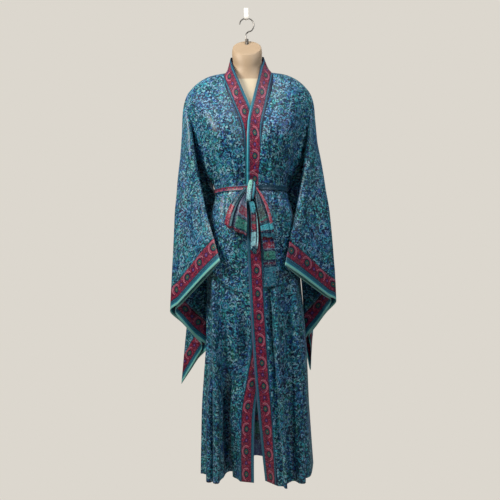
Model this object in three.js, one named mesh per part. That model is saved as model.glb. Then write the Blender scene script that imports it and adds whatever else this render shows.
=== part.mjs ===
// A long kimono robe with a tied sash, shown on a limbless torso form that hangs from a rail hook.
// Millimetres. +Z is up, the front of the robe faces -Y, and the wearer's right is at -X.
// The origin is the inside top of the rail hook's upper bend, where it bears on a picture rail.
import * as THREE from "three";
import { mergeVertices } from "three/addons/utils/BufferGeometryUtils.js";

// ---- driving dimensions -------------------------------------------------------------------------------------
const CLOTH = 1.2;              // thickness of a cloth wall
const SEAM_GAP = 0.3;           // gap between two pieces at a seam
const HANG_Y = -22;             // the form hangs this far in front of the rail bearing point
const CUFF_START = 0.845;       // share of the sleeve's length at which its border band is sewn on
const CUFF_ROWS = [CUFF_START, 0.92, 1];
const SLEEVE_ROWS = [0, 0.05, 0.12, 0.2, 0.3, 0.41, 0.53, 0.65, 0.75, CUFF_START];
const STEPS_PER_ROW = 2;        // mesh rows between two rows of a panel's table
const STEPS_PER_COLUMN = 2;     // mesh columns between two named columns
const ARMHOLE_ROWS = 6;         // table rows from the shoulder tip down to the underarm
const BAND_STEPS = 2;           // mesh columns across the neck and front band
const CUFF_EASE = 0.8;          // each piece's ease at the cuff seam, along the grain, which runs aslant to it
const UNDERARM_EASE = 2.4;      // the sleeve keeps this far from the corner where four seams meet
const ARM_REACH = 0.12;         // share of the sleeve over which it turns from the armhole into its folds
const ARM_ROLL = 7;             // how far the sleeve rolls outward where it leaves the armhole

const WIRE = 4.5;               // steel hook wire
const HOOK_RADIUS = 24.5;       // centre line of the steel hook's eye
const HOOK_CENTRE_X = 1;
const HOOK_CENTRE_Z = -62.6;
const HOOK_TIP_ANGLE = Math.PI * 0.95;
const HOOK_NECK_ANGLE = -Math.PI * 0.3;
const HOOK_STEM = [[6, -85.5], [-1, -92], [-2, -99], [-2, -110.7]];   // x and z, eye to ferrule
const STEM_Y = 8;               // the stem stands behind the form's axis, where the tilted cap is high
const RAIL_STRIP = 14.6;        // width of the rail hook's strip
const RAIL_THICK = 2;
const RAIL_BEND = 8;            // middle radius of the rail hook's upper bend
const LIP_BEND = 6;             // middle radius of its lower bend, which carries the steel hook
const LIP_RISE = 9;             // the lip stands this far above that centre
const LIP_Z = -37.3;            // level of the lower bend's centre
const REAR_LEG_Z = -10;         // foot of its leg behind the rail
const EYE_STEPS = 16;
const HOOK_STEPS = 44;
const WIRE_SIDES = 10;
const BEND_STEPS = 8;

const COLOURS = {
  ground: 0x2c6f86, border: 0xa8213f, mint: 0x7cc9bd, form: 0xeadbbd, neck: 0xcfa97c, steel: 0xb9bcc0,
  rail: 0xf1efe8,
};

// ---- tables -------------------------------------------------------------------------------------------------
// Front panels: one row for each level from the shoulder to the hem. "edge" is the free edge of the band and
// "seam" the seam between band and panel. breast, chest, turn and flank lie between the seam and the side, with
// x and y only: their z runs from seam to side, lifted by "arch". "side" is the armhole edge or the side seam.
const FRONT_RIGHT = [
  { edge: [-52, 0, -192], seam: [-74, 8, -225], breast: [-104, 6], chest: [-134, 5], turn: [-160, 4],
    flank: [-184, 3], side: [-204, 3, -292], arch: 15 },
  { edge: [-46, -38, -220], seam: [-78, -37, -250], breast: [-108, -38], chest: [-138, -36], turn: [-165, -32],
    flank: [-190, -25], side: [-208, -16, -312], arch: 12 },
  { edge: [-33, -70, -262], seam: [-72, -70, -300], breast: [-104, -72], chest: [-138, -68], turn: [-168, -56],
    flank: [-192, -41], side: [-206, -26, -345], arch: 6 },
  { edge: [-8, -91, -330], seam: [-48, -95, -366], breast: [-84, -106], chest: [-122, -100], turn: [-156, -76],
    flank: [-180, -46], side: [-198, -22, -400], arch: 0 },
  { edge: [20, -107, -410], seam: [-25, -116, -440], breast: [-62, -130], chest: [-101, -121],
    turn: [-136, -88], flank: [-162, -44], side: [-185, -15, -470], arch: 0 },
  { edge: [30, -111, -505], seam: [-16, -117, -520], breast: [-48, -121], chest: [-84, -107], turn: [-116, -76],
    flank: [-142, -38], side: [-166, -8, -535], arch: 0 },
  { edge: [31, -102, -580], seam: [-15, -108, -582], breast: [-44, -106], chest: [-76, -93], turn: [-104, -66],
    flank: [-124, -30], side: [-140, 6, -582], arch: 0 },
  { edge: [31, -97, -632], seam: [-15, -101, -632], breast: [-42, -98], chest: [-72, -86], turn: [-96, -58],
    flank: [-112, -26], side: [-119, 5, -632], arch: 0 },
  { edge: [34, -114, -700], seam: [-14, -119, -700], breast: [-52, -116], chest: [-86, -100], turn: [-114, -70],
    flank: [-130, -34], side: [-136, 6, -700], arch: 0 },
  { edge: [36, -119, -790], seam: [-12, -124, -790], breast: [-60, -120], chest: [-96, -102],
    turn: [-126, -76], flank: [-144, -38], side: [-149, 6, -790], arch: 0 },
  { edge: [38, -114, -950], seam: [-10, -118, -950], breast: [-54, -103], chest: [-104, -95],
    turn: [-138, -84], flank: [-150, -36], side: [-156, 6, -950], arch: 0 },
  { edge: [36, -107, -1150], seam: [-12, -108, -1150], breast: [-62, -80], chest: [-118, -92],
    turn: [-148, -86], flank: [-154, -26], side: [-164, 2, -1150], arch: 0 },
  { edge: [-2, -105, -1350], seam: [-46, -98, -1350], breast: [-88, -44], chest: [-128, -92],
    turn: [-160, -84], flank: [-166, -22], side: [-182, 0, -1350], arch: 0 },
  { edge: [-12, -103, -1580], seam: [-57, -84, -1582], breast: [-95, -6], chest: [-135, -90],
    turn: [-167, -80], flank: [-171, -20], side: [-192, -4, -1584], arch: 0 },
];
const FRONT_LEFT = [
  { edge: [51, 0, -192], seam: [82, 8, -227], breast: [110, 6], chest: [138, 5], turn: [164, 4],
    flank: [187, 3], side: [206, 3, -294], arch: 15 },
  { edge: [43, -38, -220], seam: [85, -37, -254], breast: [114, -38], chest: [142, -36], turn: [168, -32],
    flank: [193, -25], side: [210, -16, -316], arch: 12 },
  { edge: [33, -72, -266], seam: [78, -72, -304], breast: [108, -74], chest: [142, -69], turn: [172, -57],
    flank: [196, -42], side: [210, -28, -350], arch: 6 },
  { edge: [14, -100, -340], seam: [59, -101, -370], breast: [90, -110], chest: [128, -102], turn: [162, -78],
    flank: [182, -46], side: [203, -24, -405], arch: 0 },
  { edge: [-3, -120, -414], seam: [44, -128, -440], breast: [76, -134], chest: [112, -122], turn: [146, -88],
    flank: [166, -44], side: [191, -16, -474], arch: 0 },
  { edge: [-9, -125, -511], seam: [34, -128, -518], breast: [62, -126], chest: [94, -108], turn: [124, -78],
    flank: [150, -42], side: [172, -10, -537], arch: 0 },
  { edge: [-11, -116, -580], seam: [27, -117, -582], breast: [56, -111], chest: [86, -94], turn: [112, -66],
    flank: [130, -32], side: [146, 6, -582], arch: 0 },
  { edge: [-12, -109, -632], seam: [26, -110, -632], breast: [54, -103], chest: [82, -86], turn: [104, -58],
    flank: [118, -26], side: [124, 5, -632], arch: 0 },
  { edge: [-14, -126, -700], seam: [32, -128, -700], breast: [63, -120], chest: [96, -102], turn: [122, -72],
    flank: [136, -34], side: [142, 6, -700], arch: 0 },
  { edge: [-15, -132, -790], seam: [33, -134, -790], breast: [68, -124], chest: [104, -103], turn: [132, -75],
    flank: [148, -37], side: [153, 6, -790], arch: 0 },
  { edge: [-12, -128, -950], seam: [36, -131, -950], breast: [72, -124], chest: [110, -100], turn: [140, -82],
    flank: [156, -40], side: [164, 8, -950], arch: 0 },
  { edge: [-5, -121, -1150], seam: [42, -127, -1150], breast: [80, -130], chest: [117, -98],
    turn: [146, -88], flank: [168, -38], side: [178, 12, -1150], arch: 0 },
  { edge: [6, -112, -1350], seam: [51, -124, -1350], breast: [88, -140], chest: [118, -96], turn: [146, -94],
    flank: [170, -44], side: [184, 30, -1350], arch: 0 },
  { edge: [25, -88, -1580], seam: [64, -128, -1582], breast: [95, -150], chest: [117, -92], turn: [142, -104],
    flank: [176, -50], side: [198, 70, -1584], arch: 0 },
];
// Back panel: the same levels. Its sides follow the sides of the two fronts, moved back by "opening" where the
// armholes gape. blade, nape and centre run in from the wearer's right, and the left half mirrors them.
const BACK = [
  { opening: 0, blade: [-142, 6, -244], nape: [-74, 8, -225], centre: [0, 66, -206] },
  { opening: 36, blade: [-146, 46, -262], nape: [-74, 66, -240], centre: [0, 86, -230] },
  { opening: 64, blade: [-150, 76, -302], nape: [-76, 94, -286], centre: [0, 99, -280] },
  { opening: 74, blade: [-148, 88, -372], nape: [-76, 101, -352], centre: [0, 101, -350] },
  { opening: 64, blade: [-136, 85, -455], nape: [-70, 98, -442], centre: [0, 97, -440] },
  { opening: 34, blade: [-120, 72, -528], nape: [-62, 88, -522], centre: [0, 89, -520] },
  { opening: 0, blade: [-106, 58, -582], nape: [-54, 78, -582], centre: [0, 82, -582] },
  { opening: 0, blade: [-92, 47, -632], nape: [-46, 69, -632], centre: [0, 75, -632] },
  { opening: 0, blade: [-105, 62, -700], nape: [-52, 86, -700], centre: [0, 93, -700] },
  { opening: 0, blade: [-116, 75, -790], nape: [-58, 99, -790], centre: [0, 108, -790] },
  { opening: 0, blade: [-122, 84, -950], nape: [-62, 100, -950], centre: [0, 119, -950] },
  { opening: 0, blade: [-124, 92, -1150], nape: [-66, 102, -1150], centre: [0, 130, -1150] },
  { opening: 0, blade: [-132, 106, -1350], nape: [-68, 104, -1350], centre: [0, 141, -1350] },
  { opening: 0, blade: [-142, 130, -1582], nape: [-70, 108, -1582], centre: [0, 152, -1582] },
];
// Sleeves: four fold lines from the armhole to the cuff, at the share "t" of the way down. The sleeve is a tube
// pressed into two layers, and those are folded in three: the top fold leads at the front, then come the outer,
// the inner and the bottom fold.
const SLEEVE_RIGHT = [
  { t: 0.12, top: [-208, -20, -352], outer: [-217, 3, -462],
    inner: [-156, 22, -560], bottom: [-122, 28, -640] },
  { t: 0.3, top: [-191, -40, -450], outer: [-239, 4, -590],
    inner: [-130, 50, -690], bottom: [-150, 66, -745] },
  { t: 0.6, top: [-160, -58, -640], outer: [-258, 4, -800],
    inner: [-164, 54, -905], bottom: [-220, 82, -985] },
  { t: 1, top: [-102, -138, -862], outer: [-275, 3, -1034],
    inner: [-174, 58, -1166], bottom: [-262, 92, -1300] },
];
const SLEEVE_LEFT = [
  { t: 0.12, top: [212, -18, -356], outer: [215, 3, -466],
    inner: [160, 22, -560], bottom: [126, 28, -640] },
  { t: 0.3, top: [199, -42, -460], outer: [243, 4, -600],
    inner: [130, 50, -690], bottom: [150, 68, -740] },
  { t: 0.6, top: [159, -58, -650], outer: [268, 4, -800],
    inner: [172, 54, -890], bottom: [212, 82, -960] },
  { t: 1, top: [103, -138, -880], outer: [274, 3, -1012],
    inner: [188, 60, -1140], bottom: [198, 96, -1264] },
];
const SLEEVE_GAP = [[0.12, 13], [0.3, 11], [0.6, 9], [1, 9]];   // share down, half the layers' spacing
const FOLD_AT = { outer: 6, inner: 9 };                         // armhole steps where the folds start

// The sash: a narrow belt round the waist, its knot and the leaves of its bow. Each leaf is a ribbon in rows
// from the knot outward, with two edges as x and z at one depth y. A loop's rows turn under and return behind.
const BELT = { levels: [-622, -630, -638], sides: 36, thick: 2, clear: 0.9 };
const KNOT = {
  centre: [1, -127.3, -641], half: [14, 10.5, 36], lean: 0.2, around: 16, down: 12,
};
const BOW = {
  bow_loop_right: [
    { left: [-15.2, -628], right: [-12.6, -652], y: -130 }, { left: [-48, -660], right: [-14, -690], y: -146 },
    { left: [-72, -700], right: [-13, -738], y: -152 }, { left: [-84, -742], right: [-16, -779], y: -150 },
    { left: [-84.5, -747], right: [-16.5, -785], y: -143.5 }, { left: [-82, -741], right: [-17, -778], y: -137 },
    { left: [-66, -700], right: [-15, -734], y: -133 }, { left: [-45, -664], right: [-16, -692], y: -131 },
    { left: [-17, -634], right: [-14.5, -656], y: -123 },
  ],
  bow_loop_left: [
    { left: [15, -650], right: [18.5, -630], y: -130 }, { left: [19, -692], right: [43, -668], y: -148 },
    { left: [26, -742], right: [62, -722], y: -156 }, { left: [31, -784], right: [73, -787], y: -156 },
    { left: [31, -790], right: [74, -793], y: -150 }, { left: [31, -785], right: [73, -788], y: -144.5 },
    { left: [26, -742], right: [59, -724], y: -142 }, { left: [20, -694], right: [39, -672], y: -136 },
    { left: [15.5, -654], right: [19, -638], y: -123 },
  ],
  belt_tail_short: [
    { left: [-7, -676.8], right: [9, -676.8], y: -134.6 }, { left: [-3, -710], right: [17, -710], y: -137 },
    { left: [-2, -760], right: [21, -760], y: -142 }, { left: [-4, -800], right: [21, -798], y: -144 },
    { left: [-5, -828], right: [17, -824], y: -148 }, { left: [3, -836], right: [14, -835], y: -143 },
  ],
  belt_tail_long: [
    { left: [1, -671], right: [12, -668], y: -126.3 }, { left: [22, -715], right: [46, -705], y: -135 },
    { left: [29, -775], right: [64, -770], y: -138.4 }, { left: [32, -810], right: [70, -806], y: -139.5 },
    { left: [34, -870], right: [74, -868], y: -138 }, { left: [32, -950], right: [72, -946], y: -136 },
  ],
};
const RIBBON_STEPS = 2;         // mesh rows between two rows of a ribbon, and its mesh columns

// The torso form, from the neck base down: half width, front and back reach, and the level of each.
const FORM_RINGS = [
  { half: 60, front: -43, back: 54, side: -228, breastZ: -256, backZ: -214 },
  { half: 100, front: -56, back: 70, side: -242, breastZ: -284, backZ: -246 },
  { half: 148, front: -69, back: 82, side: -252.9, breastZ: -313, backZ: -284 },
  { half: 184, front: -79, back: 88, side: -281, breastZ: -340, backZ: -320 },
  { half: 194, front: -87, back: 90, side: -306, breastZ: -362, backZ: -352 },
  { half: 183, front: -96, back: 88, side: -345, breastZ: -390, backZ: -392 },
  { half: 160, front: -103, back: 84, side: -408, breastZ: -428, backZ: -436 },
  { half: 138, front: -104, back: 76, side: -480, breastZ: -480, backZ: -484 },
  { half: 118, front: -96, back: 70, side: -550, breastZ: -550, backZ: -550 },
  { half: 106, front: -86, back: 62, side: -625, breastZ: -625, backZ: -625 },
  { half: 120, front: -94, back: 76, side: -696, breastZ: -696, backZ: -696 },
  { half: 138, front: -101, back: 90, side: -775, breastZ: -775, backZ: -775 },
  { half: 141, front: -102, back: 93, side: -845, breastZ: -845, backZ: -845 },
  { half: 136, front: -98, back: 90, side: -868, breastZ: -868, backZ: -868 },
  { half: 118, front: -84, back: 78, side: -880, breastZ: -880, backZ: -880 },
];
// The neck: "middle" is the depth of a ring's sides, and "bow" 1 makes the ring flat. Its cap tilts forward.
const NECK_RINGS = [
  { half: 60, front: -43, back: 54, side: -227.6, breastZ: -255.6, backZ: -213.6 },
  { half: 46.5, front: -43, back: 40, side: -205, breastZ: -228, backZ: -186 },
  { half: 50.5, front: -46, back: 32, middle: -7, side: -180, breastZ: -212, backZ: -148, bow: 1 },
  { half: 52, front: -48, back: 28, middle: -10, side: -161, breastZ: -195, backZ: -126, bow: 1 },
  { half: 48.5, front: -47, back: 26, middle: -10, side: -146.5, breastZ: -181.5, backZ: -111, bow: 1 },
  { half: 46, front: -44.5, back: 23.5, middle: -10, side: -144.5, breastZ: -178, backZ: -110.5, bow: 1 },
];
// The dark ferrule where the hook's stem meets the cap.
const FERRULE_RINGS = [
  { half: 6, front: 2, back: 14, middle: 8, side: -111, breastZ: -111, backZ: -111, bow: 1 },
  { half: 6, front: 2, back: 14, middle: 8, side: -125.5, breastZ: -131.5, backZ: -119.6, bow: 1 },
];
const FORM_STEPS = 32;

// Back neckline ("line") and the neck band's free edge above it, from the wearer's right shoulder to the left.
const NECK = [
  { line: [-74, 8, -225], edge: [-52, 0, -192] },
  { line: [-68, 34, -216], edge: [-57, 30, -166] },
  { line: [-42, 57, -209], edge: [-39, 58, -155] },
  { line: [0, 66, -206], edge: [0, 70, -153] },
  { line: [44, 57, -209], edge: [39, 58, -155] },
  { line: [72, 34, -217], edge: [57, 30, -166] },
  { line: [82, 8, -227], edge: [51, 0, -192] },
];

// ---- small helpers ------------------------------------------------------------------------------------------
const V = (a) => new THREE.Vector3(a[0], a[1], a[2]);
const lerp = (a, b, f) => a + (b - a) * f;

// A smooth value through a list of points, read at position s, where whole numbers are the points themselves.
function through(points, s) {
  const last = points.length - 1;
  const i = Math.min(Math.floor(s), last - 1);
  const f = s - i;
  const p = (k) => points[Math.max(0, Math.min(last, k))];
  const out = new THREE.Vector3();
  for (const axis of ["x", "y", "z"]) {
    const [a, b, c, d] = [p(i - 1)[axis], p(i)[axis], p(i + 1)[axis], p(i + 2)[axis]];
    out[axis] = b + 0.5 * f * (c - a + f * (2 * a - 5 * b + 4 * c - d + f * (3 * (b - c) + d - a)));
  }
  return out;
}

// Value of a two-column table [[position, value], ...] at a position between its ends.
function tableAt(table, s) {
  let i = 0;
  while (i < table.length - 2 && s > table[i + 1][0]) i++;
  const [[s0, v0], [s1, v1]] = [table[i], table[i + 1]];
  return lerp(v0, v1, (s - s0) / (s1 - s0));
}

// A closed mesh from vertices and triangles, with its shared vertices merged.
function solid(vertices, triangles) {
  const g = new THREE.BufferGeometry();
  g.setAttribute("position", new THREE.Float32BufferAttribute(vertices.flatMap((v) => [v.x, v.y, v.z]), 3));
  g.setIndex(triangles.flat());
  return mergeVertices(g, 1e-4);
}

// ---- cloth panels -------------------------------------------------------------------------------------------
// A panel is a grid of points, rows by columns. "ring" closes its columns into a tube, and "flip" turns its
// outside to the other hand.
const panels = {};
function addPanel(name, points, { ring = false, flip = false, colour = COLOURS.ground } = {}) {
  panels[name] = { name, points, ring, flip, colour };
  return panels[name];
}

// The normal at each point is the mean of the normals of the faces around it.
function gridNormals(panel) {
  const { points, ring, flip } = panel;
  const rows = points.length;
  const cols = points[0].length;
  const normals = points.map((row) => row.map(() => new THREE.Vector3()));
  for (let r = 0; r < rows - 1; r++) {
    for (let c = 0; c < (ring ? cols : cols - 1); c++) {
      const e = (c + 1) % cols;
      const fall = points[r + 1][e].clone().sub(points[r][c]);
      const rise = points[r][e].clone().sub(points[r + 1][c]);
      const n = fall.cross(rise).normalize().multiplyScalar(flip ? -1 : 1);
      for (const [i, k] of [[r, c], [r + 1, c], [r, e], [r + 1, e]]) normals[i][k].add(n);
    }
  }
  return normals.map((row) => row.map((n) => n.normalize()));
}

// How a piece is drawn back from a seam: by how far, and whether square to the seam or along the grid.
const PLAIN_SEAM = { ease: SEAM_GAP / 2, square: 1 };
const CUFF_SEAM = { ease: CUFF_EASE, square: 0 };
const UNDERARM_SEAM = { ease: UNDERARM_EASE, square: 1 };

const POINT_KEY = 50;           // points within a fiftieth of a millimetre count as one
const keyOf = (p) => [p.x, p.y, p.z].map((v) => Math.round(v * POINT_KEY)).join(",");

// Pieces that meet at a seam share its points, so they take one normal there and each is then drawn back.
function finishPanels() {
  const shared = new Map();
  for (const panel of Object.values(panels)) {
    panel.normals = gridNormals(panel);
    panel.points.forEach((row, r) => row.forEach((p, c) => {
      const key = keyOf(p);
      if (!shared.has(key)) shared.set(key, { normal: new THREE.Vector3(), owners: new Set() });
      shared.get(key).normal.add(panel.normals[r][c]);
      shared.get(key).owners.add(panel.name);
    }));
  }
  for (const panel of Object.values(panels)) {
    const { points, ring } = panel;
    const rows = points.length;
    const cols = points[0].length;
    const moved = points.map((row, r) => row.map((p, c) => {
      const at = shared.get(keyOf(p));
      panel.normals[r][c] = at.normal.clone().normalize();
      if (at.owners.size < 2) return p.clone();
      const { ease, square } = panel.seam ? panel.seam(r, c) : PLAIN_SEAM;
      const q = p.clone();
      const left = ring ? row[(c + cols - 1) % cols] : row[Math.max(0, c - 1)];
      const right = ring ? row[(c + 1) % cols] : row[Math.min(cols - 1, c + 1)];
      const above = points[Math.max(0, r - 1)][c];
      const below = points[Math.min(rows - 1, r + 1)][c];
      const across = right.clone().sub(left).multiplyScalar(square);
      const along = below.clone().sub(above).multiplyScalar(square);
      if (r === 0) q.add(drawnBack(p, below, across, ease));
      if (r === rows - 1) q.add(drawnBack(p, above, across, ease));
      if (!ring && c === 0) q.add(drawnBack(p, right, along, ease));
      if (!ring && c === cols - 1) q.add(drawnBack(p, left, along, ease));
      return q;
    }));
    panel.points = moved;
  }
}

// A step of the given length from a seam point into its own piece, square to the seam if one is given.
function drawnBack(from, inner, seam, distance) {
  const along = seam.clone().normalize();
  const step = inner.clone().sub(from);
  return step.addScaledVector(along, -step.dot(along)).setLength(distance);
}

// A wall of cloth on a panel, half its thickness to each side of the grid.
function wall(panel, thickness = CLOTH) {
  const { points, normals, ring, flip } = panel;
  const rows = points.length;
  const cols = points[0].length;
  const vertices = [];
  for (const side of [0.5, -0.5]) {
    points.forEach((row, r) => row.forEach((p, c) => {
      vertices.push(p.clone().addScaledVector(normals[r][c], side * thickness));
    }));
  }
  const at = (layer, r, c) => layer * rows * cols + r * cols + (ring ? c % cols : c);
  const triangles = [];
  const quad = (a, b, c, d) => triangles.push([a, b, c], [a, c, d]);
  // Two pieces that meet at a seam split its narrow faces alike: from the higher corner of the outer face.
  const edge = (a, b, c, d) => {
    if (vertices[a].z > vertices[b].z) quad(a, b, c, d);
    else quad(b, c, d, a);
  };
  const lastCol = ring ? cols : cols - 1;
  for (let r = 0; r < rows - 1; r++) {
    for (let c = 0; c < lastCol; c++) {
      const [a, b, d, e] = [[r, c], [r + 1, c], [r + 1, c + 1], [r, c + 1]];
      const outer = [a, b, d, e].map(([i, j]) => at(0, i, j));
      const inner = [a, e, d, b].map(([i, j]) => at(1, i, j));
      const span = (from, to) => vertices[outer[from]].distanceTo(vertices[outer[to]]);
      if (span(0, 2) < span(1, 3)) {
        quad(...outer);
        quad(...inner);
      } else {
        quad(...outer.slice(1), outer[0]);
        quad(...inner.slice(1), inner[0]);
      }
    }
  }
  for (let c = 0; c < lastCol; c++) {
    edge(at(0, 0, c), at(0, 0, c + 1), at(1, 0, c + 1), at(1, 0, c));
    edge(at(0, rows - 1, c + 1), at(0, rows - 1, c), at(1, rows - 1, c), at(1, rows - 1, c + 1));
  }
  if (!ring) {
    for (let r = 0; r < rows - 1; r++) {
      edge(at(0, r + 1, 0), at(0, r, 0), at(1, r, 0), at(1, r + 1, 0));
      edge(at(0, r, cols - 1), at(0, r + 1, cols - 1), at(1, r + 1, cols - 1), at(1, r, cols - 1));
    }
  }
  return solid(vertices, flip ? triangles.map(([a, b, c]) => [a, c, b]) : triangles);
}

// ---- the robe's body ----------------------------------------------------------------------------------------
const FRONT_COLUMNS = ["breast", "chest", "turn", "flank"];

// The control points of one row, from the seam to the side.
function frontRow(row) {
  const spans = FRONT_COLUMNS.length + 1;
  const between = FRONT_COLUMNS.map((name, i) => {
    const f = (i + 1) / spans;
    const z = lerp(row.seam[2], row.side[2], f) + row.arch * Math.sin(Math.PI * f);
    return V([...row[name], z]);
  });
  return [V(row.seam), ...between, V(row.side)];
}

// Points of a grid read through a table of control rows, each a list of points.
function gridThrough(controlRows, rowSteps, columnAt) {
  const grid = [];
  for (let r = 0; r <= (controlRows.length - 1) * rowSteps; r++) {
    const s = r / rowSteps;
    const across = controlRows[0].map((_, c) => through(controlRows.map((row) => row[c]), s));
    grid.push(columnAt.map((u) => through(across, u)));
  }
  return grid;
}

const steps = (spans, perSpan) => Array.from({ length: spans * perSpan + 1 }, (_, i) => i / perSpan);
const frontColumns = steps(FRONT_COLUMNS.length + 1, STEPS_PER_COLUMN);

function frontGrid(table) {
  return gridThrough(table.map(frontRow), STEPS_PER_ROW, frontColumns);
}

// A front band runs flat from its free edge to the panel's seam.
function bandGrid(table, seamGrid) {
  const edge = gridThrough(table.map((row) => [V(row.edge), V(row.edge)]), STEPS_PER_ROW, [0]);
  return edge.map(([e], r) => Array.from({ length: BAND_STEPS + 1 }, (_, c) =>
    e.clone().lerp(seamGrid[r][0], c / BAND_STEPS)));
}

const rightFront = frontGrid(FRONT_RIGHT);
const leftFront = frontGrid(FRONT_LEFT);

// The back: its sides follow the fronts' sides, opened at the armholes by "opening".
function backRow(row, i) {
  const open = (side) => V([side[0], side[1] + row.opening, side[2]]);
  const mirrored = (p, sign) => V([p[0] * sign, p[1], p[2]]);
  return [open(FRONT_RIGHT[i].side), V(row.blade), V(row.nape), V(row.centre), mirrored(row.nape, -1),
    mirrored(row.blade, -1), open(FRONT_LEFT[i].side)];
}
const shoulderSteps = frontColumns.length - 1;
const NECK_STEPS = NECK.length - 1;
const backColumns = [
  ...Array.from({ length: shoulderSteps }, (_, i) => 2 * i / shoulderSteps),
  ...Array.from({ length: NECK_STEPS }, (_, i) => 2 + 2 * i / NECK_STEPS),
  ...Array.from({ length: shoulderSteps + 1 }, (_, i) => 4 + 2 * i / shoulderSteps),
];
const back = gridThrough(BACK.map(backRow), STEPS_PER_ROW, backColumns);
const underarm = ARMHOLE_ROWS * STEPS_PER_ROW;
back.forEach((row, r) => {
  if (r >= underarm) {
    row[0] = rightFront[r][shoulderSteps].clone();
    row[row.length - 1] = leftFront[r][shoulderSteps].clone();
  }
});
back[0] = [
  ...rightFront[0].slice().reverse().slice(0, shoulderSteps),
  ...NECK.slice(0, NECK_STEPS).map((n) => V(n.line)),
  ...leftFront[0],
].map((p) => p.clone());
back[0][shoulderSteps] = rightFront[0][0].clone();

addPanel("front_right", rightFront, { flip: true });
addPanel("front_left", leftFront);
addPanel("back", back, { flip: true });
addPanel("front_band_right", bandGrid(FRONT_RIGHT, rightFront), { colour: COLOURS.border, flip: true });
addPanel("front_band_left", bandGrid(FRONT_LEFT, leftFront), { colour: COLOURS.border });

// The neck band stands up from the back neckline and meets a front band at each shoulder.
function neckBandGrid() {
  return Array.from({ length: BAND_STEPS + 1 }, (_, r) => {
    const f = r / BAND_STEPS;
    return Array.from({ length: NECK_STEPS + 1 }, (_, c) =>
      V(NECK[c].edge).lerp(back[0][shoulderSteps + c], f));
  });
}
addPanel("neck_band", neckBandGrid(), { colour: COLOURS.border, flip: true });

// ---- sleeves ------------------------------------------------------------------------------------------------
// A sleeve or its cuff: rings of points from the front layer's top fold round to the back layer's. They start on
// the armhole, roll outward from it and turn into the folds.
function sleeveGrid(table, front, backEdge, rows) {
  const count = underarm;
  const armFront = Array.from({ length: count + 1 }, (_, k) => front[k][shoulderSteps]);
  const armBack = Array.from({ length: count + 1 }, (_, k) => back[k][backEdge]);
  const outward = Math.sign(armFront[0].x);
  const stations = table.map((row) => row.t);
  const foldLine = (name, t) => {
    let i = 0;
    while (i < stations.length - 2 && t > stations[i + 1]) i++;
    return through(table.map((row) => V(row[name])), i + (t - stations[i]) / (stations[i + 1] - stations[i]));
  };
  const centreAt = (t) => {
    const folds = ["top", "outer", "inner", "bottom"].map((name) => foldLine(name, t));
    const at = [0, FOLD_AT.outer, FOLD_AT.inner, count];
    return armFront.map((_, k) => {
      const i = at.findIndex((start, n) => k >= start && k <= at[n + 1]);
      return folds[i].clone().lerp(folds[i + 1], (k - at[i]) / (at[i + 1] - at[i]));
    });
  };
  const ringOf = (frontLayer, backLayer) => [...frontLayer, ...backLayer.slice(1, count).reverse()];
  const folded = (t) => {
    const line = centreAt(t);
    const below = centreAt(Math.min(1, t + 0.01));
    const above = centreAt(Math.max(ARM_REACH, t - 0.01));
    const half = tableAt(SLEEVE_GAP, t);
    const offsets = line.map((_, k) => {
      const along = below[k].clone().sub(above[k]);
      const across = line[Math.min(count, k + 1)].clone().sub(line[Math.max(0, k - 1)]);
      const closing = Math.min(1, Math.sqrt(Math.min(k, count - k) / 2));
      return across.cross(along).setLength(1).multiplyScalar(outward * half * closing);
    });
    const moved = (sign) => line.map((p, k) => p.clone().addScaledVector(offsets[k], sign));
    return ringOf(moved(1), moved(-1));
  };
  const arm = ringOf(armFront, armBack);
  const free = folded(ARM_REACH);
  return rows.map((t) => {
    if (t >= ARM_REACH) return folded(t);
    const roll = ARM_ROLL * Math.sin(Math.PI * t / ARM_REACH);
    const rolled = V([outward * roll, 0, 0]);
    return arm.map((p, k) => p.clone().lerp(free[k], t / ARM_REACH).add(rolled));
  });
}

const SLEEVES = { right: [SLEEVE_RIGHT, rightFront, 0], left: [SLEEVE_LEFT, leftFront, back[0].length - 1] };
for (const [hand, [table, front, backEdge]] of Object.entries(SLEEVES)) {
  const flip = hand === "left";
  const sleeve = addPanel(`sleeve_${hand}`, sleeveGrid(table, front, backEdge, SLEEVE_ROWS),
    { ring: true, flip });
  sleeve.seam = (r, c) => {
    if (r > 0) return CUFF_SEAM;
    return c === underarm ? UNDERARM_SEAM : PLAIN_SEAM;
  };
  const cuff = addPanel(`cuff_band_${hand}`, sleeveGrid(table, front, backEdge, CUFF_ROWS),
    { ring: true, flip, colour: COLOURS.border });
  cuff.seam = () => CUFF_SEAM;
}

// ---- the sash -----------------------------------------------------------------------------------------------
const BODY_PANELS = ["front_right", "front_left", "back", "front_band_right", "front_band_left"];

// Where the columns of the robe's body cross a level.
function crossings(level) {
  const found = [];
  for (const { points } of BODY_PANELS.map((name) => panels[name])) {
    for (let r = 0; r < points.length - 1; r++) {
      points[r].forEach((p, c) => {
        const q = points[r + 1][c];
        if (p.z >= level && q.z < level) found.push(p.clone().lerp(q, (p.z - level) / (p.z - q.z)));
      });
    }
  }
  return found;
}

// The belt stretches round the outermost points at each level, as straight sides that touch none of them.
function beltGrid() {
  const out = CLOTH / 2 + BELT.clear + BELT.thick / 2;
  return BELT.levels.map((level) => {
    const points = crossings(level);
    const line = (i) => {
      const a = 2 * Math.PI * i / BELT.sides;
      const [x, y] = [Math.sin(a), Math.cos(a)];
      return { x, y, reach: out + Math.max(...points.map((p) => p.x * x + p.y * y)) };
    };
    return Array.from({ length: BELT.sides }, (_, i) => {
      const [a, b] = [line(i), line(i + 1)];
      const turn = a.x * b.y - a.y * b.x;
      return V([(a.reach * b.y - b.reach * a.y) / turn, (b.reach * a.x - a.reach * b.x) / turn, level]);
    });
  });
}

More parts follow.
